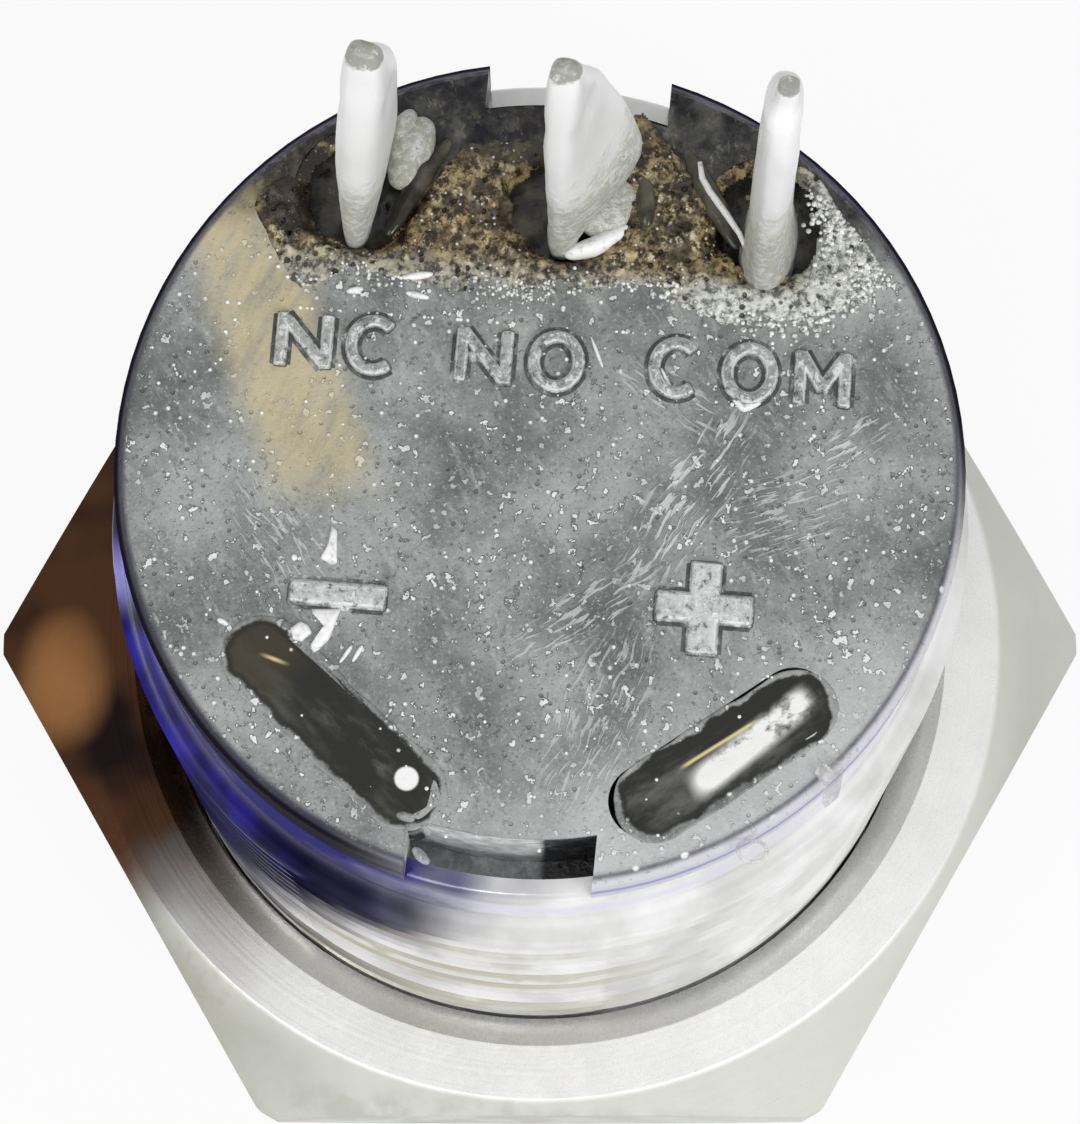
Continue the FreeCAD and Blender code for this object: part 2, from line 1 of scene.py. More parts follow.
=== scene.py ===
import math
import bmesh
import bpy
import numpy as np
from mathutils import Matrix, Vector


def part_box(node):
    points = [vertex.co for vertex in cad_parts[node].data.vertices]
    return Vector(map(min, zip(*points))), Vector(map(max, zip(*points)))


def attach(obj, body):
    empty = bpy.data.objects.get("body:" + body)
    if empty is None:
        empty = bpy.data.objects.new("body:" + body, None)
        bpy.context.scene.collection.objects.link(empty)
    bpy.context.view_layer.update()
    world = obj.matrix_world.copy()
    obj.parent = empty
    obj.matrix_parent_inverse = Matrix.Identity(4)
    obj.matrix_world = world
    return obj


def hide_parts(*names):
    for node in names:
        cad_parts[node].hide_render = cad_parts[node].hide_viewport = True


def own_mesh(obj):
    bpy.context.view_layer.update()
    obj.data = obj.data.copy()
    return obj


# Looks of a 19 mm door bell push button, seen from its rear face with the three solder terminals.
# Shapes are worked out in millimetres in the part's own frame and scaled once, when a mesh is made.
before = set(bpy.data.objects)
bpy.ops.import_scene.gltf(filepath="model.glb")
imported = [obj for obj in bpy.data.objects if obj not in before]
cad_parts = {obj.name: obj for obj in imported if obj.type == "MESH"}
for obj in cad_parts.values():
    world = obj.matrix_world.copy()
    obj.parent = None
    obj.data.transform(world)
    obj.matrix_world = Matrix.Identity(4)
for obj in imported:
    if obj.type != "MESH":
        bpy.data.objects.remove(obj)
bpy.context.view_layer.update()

MM = 0.001
TAU = 2 * math.pi


def limits(node):
    """Lowest and highest corner of a CAD node, in millimetres."""
    low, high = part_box(node)
    return np.array(low) / MM, np.array(high) / MM


# Sizes read from the frame
BEZEL_R, _, RIM_Z = limits("housing")[1]
FACE_Z = limits("base")[1][2]
TERMINALS = ("nc", "no", "com")
WELLS = {name: sum(limits("potting_" + name)) / 2 for name in TERMINALS}
WELL_LOW, WELL_HIGH = limits("potting_nc")
WELL_R = (WELL_HIGH - WELL_LOW)[0] / 2
WELL_FLOOR_Z = WELL_LOW[2]

# Sizes of the housing: radii, and heights over the front of the bezel
BEZEL_Z = 2.0
BEZEL_ROUND = 0.6
CAP_HOLE_R = 7.25
FLOOR_Z = 3.0
BORE_R = 8.1
SEAT_R = 8.45
SEAT_Z = 19.0
NECK_R = 8.9
THREAD_R = 9.5
THREAD_Z = (2.35, 21.35)
THREAD_PITCH = 1.0
THREAD_DEPTH = 0.55
HOUSING_STEPS = 144

# Camera at the photograph's viewing angle, fitted to the rear circle, the neck and the nut
FRAME_PIXELS = 1124
FOCAL_PIXELS = 4000


def photo_camera():
    """Camera on the long side of the photograph's frame; both lengths are in the photograph's pixels."""
    data = bpy.data.cameras.new("photo_camera")
    data.sensor_fit = "AUTO"
    data.sensor_width = 36.0
    data.lens = FOCAL_PIXELS / FRAME_PIXELS * data.sensor_width
    data.clip_start = 0.005
    data.clip_end = 5.0
    camera = bpy.data.objects.new("photo_camera", data)
    camera.location = (0.00155, -0.01964, 0.10696)
    camera.rotation_euler = (math.radians(12.29), 0, math.radians(4.5))
    bpy.context.scene.collection.objects.link(camera)
    bpy.context.scene.camera = camera


# Shader maths
class Wire:
    """A socket of a finish's node tree; arithmetic on it adds Math nodes."""

    def __init__(self, finish, socket):
        self.finish = finish
        self.socket = socket

    def maths(self, operation, *values, clamp=False):
        """One Math node on these values."""
        return self.finish.node("ShaderNodeMath", {"operation": operation, "use_clamp": clamp}, values)

    def __add__(self, other):
        return self.maths("ADD", self, other)

    __radd__ = __add__

    def __sub__(self, other):
        return self.maths("SUBTRACT", self, other)

    def __rsub__(self, other):
        return self.maths("SUBTRACT", other, self)

    def __mul__(self, other):
        return self.maths("MULTIPLY", self, other)

    __rmul__ = __mul__

    def __truediv__(self, other):
        return self.maths("DIVIDE", self, other)

    def __pow__(self, power):
        return self.maths("POWER", self, power)

    def __abs__(self):
        return self.maths("ABSOLUTE", self)

    def most(self, other):
        """The greater of the two."""
        return self.maths("MAXIMUM", self, other)

    def held(self):
        """Kept between 0 and 1."""
        return self.maths("ADD", self, 0.0, clamp=True)

    def step(self, low, high):
        """0 below low and 1 above high, smooth between; reversed when low is above high."""
        if low > high:
            return 1 - self.step(high, low)
        return self.finish.node("ShaderNodeMapRange", {"interpolation_type": "SMOOTHSTEP"},
                                {"Value": self, "From Min": low, "From Max": high})

    def bell(self, middle, half):
        """1 at middle, falling smoothly to 0 at half to either side."""
        return abs(self - middle).step(half, 0)


class Finish:
    """One material: a Principled shader and the nodes that feed it."""

    def __init__(self, name, **constants):
        self.material = bpy.data.materials.new(name)
        self.material.use_nodes = True
        self.tree = self.material.node_tree
        self.shader = self.tree.nodes["Principled BSDF"]
        for key, value in constants.items():
            self.shader.inputs[key.replace("_", " ")].default_value = value
        point = self.node("ShaderNodeTexCoord", out="Object")
        self.place = self.node("ShaderNodeVectorMath", {"operation": "SCALE"}, {0: point, "Scale": 1 / MM})
        split = self.tree.nodes.new("ShaderNodeSeparateXYZ")
        self.tree.links.new(self.place.socket, split.inputs[0])
        self.x, self.y, self.z = (Wire(self, output) for output in split.outputs)
        self.r = (self.x * self.x + self.y * self.y) ** 0.5

    def node(self, kind, settings=None, inputs=(), out=0):
        """Adds one node: its settings first, then the values or links of its sockets."""
        node = self.tree.nodes.new(kind)
        for key, value in (settings or {}).items():
            setattr(node, key, value)
        pairs = inputs.items() if isinstance(inputs, dict) else enumerate(inputs)
        for key, value in pairs:
            if isinstance(value, Wire):
                self.tree.links.new(value.socket, node.inputs[key])
            else:
                node.inputs[key].default_value = value
        return Wire(self, node.outputs[out])

    def angle(self):
        """Direction from the axis in degrees: 0 along +X, and from -180 to 180."""
        return self.node("ShaderNodeMath", {"operation": "ARCTAN2"}, [self.y, self.x]) * (360 / TAU)

    def mix(self, mask, low, high):
        """Colour low where mask is 0 and high where it is 1."""
        sides = [side if isinstance(side, Wire) else (*side, 1) for side in (low, high)]
        return self.node("ShaderNodeMix", {"data_type": "RGBA"}, {0: mask, 6: sides[0], 7: sides[1]}, out=2)

    def stretched(self, x=1.0, y=1.0, z=1.0, turn=0.0):
        """The place in millimetres, turned about Z and then scaled, for a pattern that runs one way."""
        turned = self.node("ShaderNodeVectorRotate", {"rotation_type": "Z_AXIS"},
                           {"Vector": self.place, "Angle": math.radians(turn)})
        return self.node("ShaderNodeVectorMath", {"operation": "MULTIPLY"}, {0: turned, 1: (x, y, z)})

    def noise(self, size, detail=4.0, rough=0.55, at=None, shift=0.0):
        """Smooth noise from 0 to 1 whose lumps are about size millimetres across."""
        return self.node("ShaderNodeTexNoise", {"noise_dimensions": "4D"}, {
            "Vector": at or self.place, "W": shift, "Scale": 1 / size, "Detail": detail, "Roughness": rough})

    def bands(self, along, detail=2.0):
        """Noise that changes with one value alone, for rings and bands."""
        return self.node("ShaderNodeTexNoise", {"noise_dimensions": "1D"},
                         {"W": along, "Scale": 1.0, "Detail": detail})

    def cells(self, size, out="Distance"):
        """Distance to the nearest point of cells of about size millimetres, or another output."""
        return self.node("ShaderNodeTexVoronoi", {}, {"Vector": self.place, "Scale": 1 / size}, out)

    def dots(self, size, share, radius=0.2):
        """1 in round dots of that radius, in cells, which a share of the cells of that size has."""
        chance = self.node("ShaderNodeSeparateColor", {}, {0: self.cells(size, "Color")})
        return self.cells(size).step(radius, radius * 0.5) * chance.step(1 - share, 1 - share + 0.02)

    def bump(self, height, depth):
        """Bends the surface's normal by a height of 0 to 1 that stands for depth millimetres."""
        self.set(Normal=self.node("ShaderNodeBump", {}, {"Height": height, "Distance": depth * MM}))

    def set(self, **sockets):
        """Links wires to the shader's sockets, named with _ for a space."""
        for key, value in sockets.items():
            self.tree.links.new(value.socket, self.shader.inputs[key.replace("_", " ")])

    def matt(self, colour, roughness):
        """A dull shader of one colour, to lay over the finish where it must not mirror the surround."""
        return self.node("ShaderNodeBsdfPrincipled", {}, {
            "Base Color": (*colour, 1), "Roughness": roughness, "Specular IOR Level": 0.05})

    def over(self, mask, other):
        """Lays another shader over this finish where mask is 1."""
        own = Wire(self, self.shader.outputs[0])
        both = self.node("ShaderNodeMixShader", {}, {0: mask, 1: own, 2: other})
        self.tree.links.new(both.socket, self.tree.nodes["Material Output"].inputs["Surface"])


def steel_finish():
    """Polished housing: pale steel with turning lines; the blue to blue-black on the -X side of the neck is
    a painted reflection of a blue surround, as are a pale violet band and olive bands, and a dark arc at the
    thread's foot by the nut is a painted shadow.
    """
    f = Finish("polished_steel")
    angle = f.angle()
    drift = f.noise(2.4, 2) * 30 - 15
    # reach and left mark the -X side of the neck, reaching further round lower down, where the blue
    # reflection is painted.
    reach = angle + 180 + drift + (22 - f.z) * 2.6
    left = reach.step(94, 58).most((180 - angle + drift).step(60, 20) * f.y.step(-1, 1))
    left = left * f.x.step(2, 0)
    above = f.z.step(7.5, 8.5)
    shade = f.noise(1.6, 5, at=f.stretched(1, 1, 0.35))
    silver = f.mix(shade.step(0.3, 0.75), (0.66, 0.66, 0.65), (0.92, 0.92, 0.92))
    # Painted reflection: a pale violet band round the neck below the rim.
    lilac = f.mix(f.z.bell(22.6, 1.0) * 0.55, silver, (0.66, 0.64, 0.88))
    bands = f.bands(f.z * 0.5 + shade * 0.8).step(0.46, 0.60)
    # Painted reflection: olive bands on the thread towards -X, below z 21.5.
    olive = f.mix(bands * f.z.step(21.5, 19.5) * f.x.step(6, 0) * 0.7, lilac, (0.46, 0.43, 0.31))
    # Painted reflection of a blue surround: dark to bright blue in clouds, with a pale violet streak.
    glow = f.noise(1.6, 2, at=f.stretched(1, 1, 0.6)).step(0.38, 0.66)
    blue_reflection = f.mix(glow, (0.006, 0.004, 0.040), (0.028, 0.020, 0.300))
    blue_reflection = f.mix((angle + 168).bell(0, 7) * f.z.step(17, 20) * 0.7, blue_reflection, (0.36, 0.34, 0.80))
    colour = f.mix((left * above * 1.05).held(), olive, blue_reflection)
    # Painted blue-black: a reflection by the rim on the -X side, and a painted shadow at the thread's foot
    # by the nut.
    navy_reflection_and_shadow = (reach - 68).bell(0, 26) * f.z.step(23.6, 22.0) * above
    navy_reflection_and_shadow = navy_reflection_and_shadow.most((angle + 128).bell(0, 34) * f.z.bell(8.2, 1.3))
    colour = f.mix(navy_reflection_and_shadow * 0.92, colour, (0.004, 0.003, 0.018))
    scuff = f.noise(0.35, 6, 0.7, at=f.stretched(1, 1, 5))
    lines = f.noise(0.06, 2, 0.6, at=f.stretched(0.2, 0.2, 1))
    f.set(Base_Color=colour, Roughness=0.12 + scuff.step(0.5, 0.85) * 0.22,
          Metallic=0.45 + 0.55 * left.most(navy_reflection_and_shadow))
    f.bump(lines * 0.5 + scuff * 0.5, 0.006)
    # A matt shader in the painted blue, laid over the -X side by the rim.
    matt_blue_reflection = f.matt((0.016, 0.011, 0.160), 0.6)
    streaks = f.noise(1.2, 3, at=f.stretched(1, 1, 0.5), shift=3.0).step(0.30, 0.60) * 0.35 + 0.60
    f.over(left * f.z.step(21.2, 21.9) * streaks, matt_blue_reflection)
    return f.material


def nut_finish():
    """Machined nut: fine rings, scuffed; the dark brown and orange at the -X corner and the olive on the
    lower and right corners and along the bottom edge are painted reflections, and the chamfered corners are
    painted darker as shade.
    """
    f = Finish("machined_nut")
    angle = f.angle()
    cloud = f.noise(1.6, 6, 0.6)
    soft = f.noise(3.2, 2)
    # Painted reflections: dark brown to orange at the -X corner, olive on the lower left and right corners
    # and in patches along the bottom edge.
    left = (abs(angle) + soft * 24 - 12).step(118, 152)
    lower_left_olive_reflection = (angle + 128 + cloud * 14).bell(0, 34) * f.r.step(11.4, 12.4)
    right = (angle + 10 + cloud * 16).bell(0, 42) * f.r.step(11.6, 12.6)
    pale = f.mix(cloud.step(0.3, 0.7), (0.90, 0.90, 0.88), (0.98, 0.98, 0.97))
    colour = f.mix((lower_left_olive_reflection * 0.9).held(), pale, (0.40, 0.40, 0.33))
    colour = f.mix(right * cloud.step(0.25, 0.6) * 0.8, colour, (0.52, 0.54, 0.46))
    bottom = f.y.step(-11.4, -12.0) * f.noise(1.2, 4).step(0.42, 0.58) * 0.6
    colour = f.mix(bottom, colour, (0.50, 0.51, 0.44))
    brown = f.mix(soft.step(0.40, 0.62), (0.012, 0.006, 0.006), (0.075, 0.032, 0.014))
    colour = f.mix(left, colour, brown)
    orange = ((f.x + 12.0) * (f.x + 12.0) * 0.45 + (f.y + 1.9) * (f.y + 1.9) * 0.22 + soft).step(1.5, 0.5)
    colour = f.mix(orange * left * 0.9, colour, (0.36, 0.165, 0.060))
    rings = f.bands(f.r * 9, 3.0)
    scuff = f.noise(0.25, 5, 0.7)
    # Painted on the chamfered corners: a darker grey-olive that stands for their shade and an olive
    # reflection; they are also rougher and less metallic.
    corners = f.r.step(11.55, 11.75) * (1 - left)
    colour = f.mix(corners * 0.55, colour, (0.42, 0.43, 0.36))
    f.set(Base_Color=colour, Roughness=0.26 + scuff.step(0.45, 0.8) * 0.25 + corners * 0.3,
          Metallic=0.30 + left * 0.60 - corners * 0.25)
    f.bump(rings * 0.7 + scuff * 0.3, 0.008)
    return f.material


def cap_finish():
    """Spun cap: rings about the axis, with fine wear."""
    f = Finish("spun_cap", Metallic=1.0)
    rings = f.bands(f.r * 14, 4.0)
    wear = f.noise(0.5, 6, 0.7)
    f.set(Base_Color=f.mix(wear.step(0.35, 0.75), (0.60, 0.60, 0.60), (0.76, 0.76, 0.75)),
          Roughness=0.22 + rings * 0.16)
    f.bump(rings, 0.006)
    return f.material


def two_tone(name, grain, edges, dark, bright, roughness, bumps, stretch=None, **constants):
    """Finish whose noise of a grain blends two colours between its edges and adds to the roughness.

    bumps is the bump's depth, after the grain of a finer noise where the bump has its own.
    """
    f = Finish(name, **constants)
    f.cloud = f.noise(*grain, at=f.stretched(*stretch) if stretch else None)
    share = f.cloud.step(*edges) if edges else f.cloud
    f.set(Base_Color=f.mix(share, dark, bright), Roughness=roughness[0] + f.cloud * roughness[1])
    *finer, depth = bumps
    f.bump(f.noise(*finer) if finer else f.cloud, depth)
    return f


def spring_finish():
    """Drawn wire: dark die lines and a little oil."""
    return two_tone("drawn_wire", (0.8, 4), None, (0.34, 0.34, 0.34), (0.62, 0.61, 0.59), (0.25, 0.2),
                    (0.08, 3, 0.004), Metallic=1.0).material


def rubber_finish():
    """Black rubber with a fine bloom."""
    return two_tone("black_rubber", (0.7, 6, 0.65), (0.4, 0.8), (0.012, 0.012, 0.013), (0.045, 0.044, 0.042),
                    (0.55, 0.3), (0.09, 3, 0.010), Specular_IOR_Level=0.35).material


def inner_plastic_finish():
    """Plain cream moulding with soft flow marks."""
    return two_tone("cream_moulding", (2.0, 5), None, (0.62, 0.59, 0.50), (0.76, 0.73, 0.65), (0.42, 0.15),
                    (0.1, 4, 0.006), stretch=(1, 0.4, 1), Subsurface_Weight=0.05).material


def metal_finish(name, dark, bright, roughness):
    """Small metal parts: rolled or cast, with blotchy tarnish."""
    return two_tone(name, (0.5, 6, 0.65), (0.3, 0.7), dark, bright, (roughness, 0.2), (0.07, 4, 0.006),
                    Metallic=1.0).material


def foam_finish():
    """Beads of residue: smoky glassy grey and white by noise; the white is partly the residue's own and
    partly painted highlights.
    """
    return two_tone("residue_with_highlights", (0.12, 4), (0.36, 0.60), (0.20, 0.21, 0.19), (0.94, 0.95, 0.92),
                    (0.12, 0.2), (0.03,), Specular_IOR_Level=0.8, Coat_Weight=0.5).material


def chip_finish():
    """White chips of plastic and spatter of solder."""
    return two_tone("white_chips", (0.15, 4), (0.30, 0.50), (0.62, 0.63, 0.62), (0.96, 0.96, 0.96),
                    (0.22, 0.2), (0.02,), Specular_IOR_Level=0.6).material


def flake_finish():
    """Thin torn moulding flash: smoky and half clear."""
    f = two_tone("torn_flash", (0.35, 5, 0.65), (0.35, 0.65), (0.34, 0.34, 0.36), (0.93, 0.93, 0.94),
                 (0.12, 0.2), (0.02,), Coat_Weight=0.5)
    f.set(Alpha=(0.10 + f.cloud * 0.45).held())
    return f.material


def solder_finish():
    """Thick bright tinning: white, rough and grey-green low on the tabs, grey at the very tips."""
    f = Finish("tinning", Metallic=0.1, Specular_IOR_Level=0.55)
    grain = f.noise(0.20, 5, 0.75)
    coarse = f.noise(0.5, 4, 0.6)
    frost = (f.z + coarse * 3.4).step(32.6, 30.6)
    tip = (f.z + coarse * 0.5).step(35.10, 35.20)
    white = f.mix(f.noise(0.9, 3), (0.90, 0.90, 0.90), (0.95, 0.95, 0.95))
    colour = f.mix(frost * grain.step(0.40, 0.54) * 0.80, white, (0.50, 0.52, 0.41))
    colour = f.mix(frost * grain.step(0.40, 0.33) * 0.8, colour, (0.08, 0.09, 0.07))
    colour = f.mix(tip * grain.step(0.3, 0.5) * 0.9, colour, (0.30, 0.31, 0.26))
    pits = f.dots(0.6, 0.10, 0.14) * f.z.step(27, 29)
    colour = f.mix(pits * 0.8, colour, (0.12, 0.12, 0.11))
    f.set(Base_Color=colour, Roughness=0.30 + frost * 0.2 + grain * 0.1)
    f.bump(grain * (0.15 + frost * 0.85) - pits * 0.5, 0.14)
    return f.material


def face_colours(f, speckle=1.0):
    """Colours and masks of the scratched grey face: clouds, white grit specks that are partly painted
    glints, dark rings round them that are painted shadows, and pits.
    """
    cloud = f.noise(2.6, 7, 0.62)
    fine = f.noise(0.075, 3, 0.65)
    colour = f.mix(cloud.step(0.32, 0.70), (0.115, 0.126, 0.122), (0.420, 0.436, 0.424))
    rolled = f.noise(0.30, 4, 0.7, at=f.stretched(1, 0.30, 1, turn=-35))
    crossed = f.noise(0.26, 4, 0.7, at=f.stretched(1, 0.22, 1, turn=52))
    colour = f.mix(rolled.step(0.52, 0.70) * 0.50, colour, (0.50, 0.52, 0.51))
    colour = f.mix(crossed.step(0.55, 0.70) * 0.35, colour, (0.060, 0.066, 0.064))
    colour = f.mix(fine.step(0.56, 0.66) * 0.45, colour, (0.56, 0.58, 0.57))
    colour = f.mix(fine.step(0.42, 0.34) * 0.50, colour, (0.060, 0.066, 0.064))
    swarm = 0.45 + f.noise(1.3, 4, 0.6).step(0.40, 0.58) * 0.55
    spot = f.noise(0.16, 2, 0.5, shift=7.0)
    # White grit specks, partly painted glints.
    grit = (spot.step(0.628, 0.655) * swarm).most(f.dots(0.26, 0.18, 0.24)) * speckle
    # Painted shadows: dark rings round the grit specks.
    rings = spot.step(0.57, 0.615) * swarm * speckle - grit
    pits = f.dots(0.21, 0.16, 0.28)
    colour = f.mix((rings.held() * 0.7).most(pits * 0.5), colour, (0.045, 0.050, 0.048))
    colour = f.mix(grit.held() * 0.92, colour, (0.90, 0.93, 0.92))
    return colour, cloud, fine, grit, pits


def scratches(f, x, y, length, width, turn, size=0.10):
    """Fine parallel scratches in a soft oval at x, y; turn is the direction of its length in degrees."""
    cosine, sine = math.cos(math.radians(turn)), math.sin(math.radians(turn))
    along = (f.x - x) * cosine + (f.y - y) * sine
    across = (f.y - y) * cosine - (f.x - x) * sine
    oval = ((along / length) ** 2 + (across / width) ** 2).step(1.0, 0.35)
    wave = f.noise(1.4, 2) * 0.5
    threads = f.node("ShaderNodeTexNoise", {"noise_dimensions": "2D"}, {"Vector": f.node(
        "ShaderNodeCombineXYZ", {}, [along * 0.13, across + wave, 0.0]), "Scale": 1 / size, "Detail": 2.0})
    return oval * threads.step(0.52, 0.62)


# Lighter scratches on the face: strength, middle x and y, length, width, direction, width of a thread
LIGHT_SCRATCHES = (
    (0.8, 1.2, -3.0, 2.2, 0.6, 38, 0.08),
    (0.7, 2.6, 1.7, 1.5, 0.6, -30, 0.09),
    (0.7, 5.2, -0.6, 1.6, 1.0, 25, 0.07),
    (0.7, -5.2, -2.0, 1.8, 0.8, -50, 0.07),
    (0.6, 1.6, -5.2, 2.4, 1.1, 70, 0.08),
)


def base_finish():
    """Moulded base: grey glossy face with worn grit, scratches and flux stain, and dark walls; a tan streak,
    olive streaks on the stain and a dark violet rim are painted reflections, the lower right is lighter as
    painted sheen, and the outer side wall and the keyway are painted in light and shade.
    """
    f = Finish("moulded_base", Specular_IOR_Level=0.6)
    colour, cloud, fine, grit, pits = face_colours(f)
    ripple = f.noise(0.5, 5, 0.7)
    # Painted reflection: a tan streak down the left of the face, stronger towards +Y, broken into streaks.
    leaning = f.x + f.y * 0.42 + ripple * 0.6
    streak = leaning.step(-6.1, -5.1) * leaning.step(-2.9, -3.8) * (f.y - f.x * 0.24 + ripple).step(0.0, 1.4)
    fade = f.y.step(-2.0, 1.5) * 0.30 + 0.62
    reflection_streaks = f.noise(0.7, 5, 0.7, at=f.stretched(2.2, 0.5, 1, turn=20)).step(0.28, 0.62) * 0.6 + 0.4
    colour = f.mix(streak * fade * reflection_streaks, colour, (0.60, 0.52, 0.32))
    gold = ((f.x + 5.6) ** 2 * 0.5 + (f.y - 6.0) ** 2).step(1.6, 0.3)
    colour = f.mix(gold * ripple.step(0.35, 0.55), colour, (0.62, 0.52, 0.24))
    sheen = (f.x * 0.55 - f.y).step(6.0, 9.5) * 0.55
    colour = f.mix(sheen, colour, (0.74, 0.76, 0.76))
    wear_and_highlight = scratches(f, 3.1, -0.5, 2.6, 0.9, 62).most(scratches(f, 6.5, 1.0, 1.0, 0.5, 40, 0.07))
    for strength, *patch in LIGHT_SCRATCHES:
        wear_and_highlight = wear_and_highlight.most(scratches(f, *patch) * strength)
    colour = f.mix(wear_and_highlight * 0.75, colour, (0.70, 0.72, 0.72))
    stain = f.y.step(4.4, 6.0) * (0.55 + ripple * 0.8)
    soot_and_highlights = f.mix(f.noise(0.9, 5, 0.7).step(0.50, 0.72), (0.014, 0.012, 0.010), (0.16, 0.15, 0.12))
    # Painted highlights: olive-tan gloss streaks on the dark stain.
    gloss = f.noise(0.5, 5, 0.7, at=f.stretched(1.5, 0.6, 1, turn=-20)).step(0.56, 0.66)
    soot_and_highlights = f.mix(gloss * 0.8, soot_and_highlights, (0.42, 0.40, 0.29))
    colour = f.mix((stain * 0.95).held(), colour, soot_and_highlights)
    # Painted reflection: a dark violet line round the face's rim chamfer.
    rim = f.r.step(8.58, 8.74)
    colour = f.mix(rim * (0.7 + ripple * 0.5).held(), colour, (0.012, 0.008, 0.035))
    chips = f.dots(0.45, 0.25, 0.25) * f.r.step(8.45, 8.6) * f.y.step(0, -2)
    colour = f.mix(chips, colour, (0.85, 0.85, 0.86))
    wall = f.z.step(FACE_Z - 0.05, FACE_Z - 0.20)
    outside = f.r.step(8.75, 8.85)
    dark_wall = f.mix(f.noise(0.6, 5, 0.65).step(0.45, 0.75), (0.010, 0.010, 0.014), (0.16, 0.17, 0.17))
    # Painted light: walls below the face pale, white to grey, towards -X at the bottom, which takes in the
    # keyway's left part.
    lit_haze = f.mix(f.noise(0.35, 4, 0.65).step(0.35, 0.65), (0.52, 0.54, 0.53), (1.0, 1.0, 1.0))
    lit_wall = f.mix(f.x.step(0.75, 0.60) * f.y.step(-4, -6), dark_wall, lit_haze)
    # Painted light and shade on the outer side wall: pale with a violet band of painted reflection towards
    # the lower right, near black elsewhere.
    lit_side_with_violet_band = f.mix(f.z.bell(FACE_Z - 1.0, 0.35), (0.62, 0.62, 0.66), (0.30, 0.28, 0.62))
    right = (f.x * 0.9 - f.y * 0.5).step(0.2, 4.8) * f.y.step(2, -2)
    side = f.mix(right, (0.003, 0.002, 0.014), lit_side_with_violet_band)
    lit_wall = f.mix(f.r.step(8.55, 8.65), lit_wall, side)
    colour = f.mix(wall, colour, lit_wall)
    # Painted reflection: dark violet on the outer side wall towards +Y.
    violet = wall * outside * f.y.step(4, 7)
    colour = f.mix(violet, colour, (0.035, 0.020, 0.16))
    dull_side = wall * outside
    f.set(Base_Color=colour, Roughness=0.20 + cloud * 0.16 + wear_and_highlight * 0.2 + dull_side * 0.65)
    grain = f.noise(0.22, 4, 0.6)
    f.bump(cloud * 0.15 + grain * 0.5 + fine * 0.25 + grit * 0.4 - pits * 0.5 + wear_and_highlight * 0.4, 0.06)
    # Painted shade: a matt near-black shader laid over the outer side wall away from the lower right; it is
    # also laid over the darkest parts of the stain.
    matt_black = f.matt((0.008, 0.006, 0.014), 0.8)
    sooted = (stain * 0.9).held() * (1 - wall) * f.noise(0.6, 4, 0.7, shift=2.0).step(0.60, 0.42)
    f.over((dull_side * (1 - right) * 0.95).most(sooted * 0.75), matt_black)
    return f.material


def marks_finish():
    """Raised marks: the face's grey on top, bright shoulders that are painted highlights and black round
    their feet that is painted shadow.
    """
    f = Finish("raised_marks", Specular_IOR_Level=0.7)
    colour, _, fine, grit, _ = face_colours(f, 0.6)
    messy = f.noise(0.22, 5, 0.75)
    # Painted highlight: the sloping shoulders of the marks bright in patches.
    wear_and_highlight = f.z.bell(FACE_Z + 0.14, 0.055) * messy.step(0.38, 0.52)
    colour = f.mix((messy.step(0.49, 0.60) * 0.75).most(wear_and_highlight * 0.9), colour, (0.90, 0.92, 0.91))
    colour = f.mix(messy.step(0.44, 0.36) * 0.75, colour, (0.035, 0.037, 0.036))
    # Painted shadow: black round the feet of the marks.
    skirt = f.z.step(FACE_Z + 0.07, FACE_Z + 0.02) * f.noise(0.5, 3, shift=4.0).step(0.34, 0.52)
    colour = f.mix(skirt * 0.9, colour, (0.016, 0.016, 0.016))
    f.set(Base_Color=colour, Roughness=0.18 + fine * 0.15)
    f.bump(messy * 0.6 + grit * 0.3, 0.05)
    return f.material


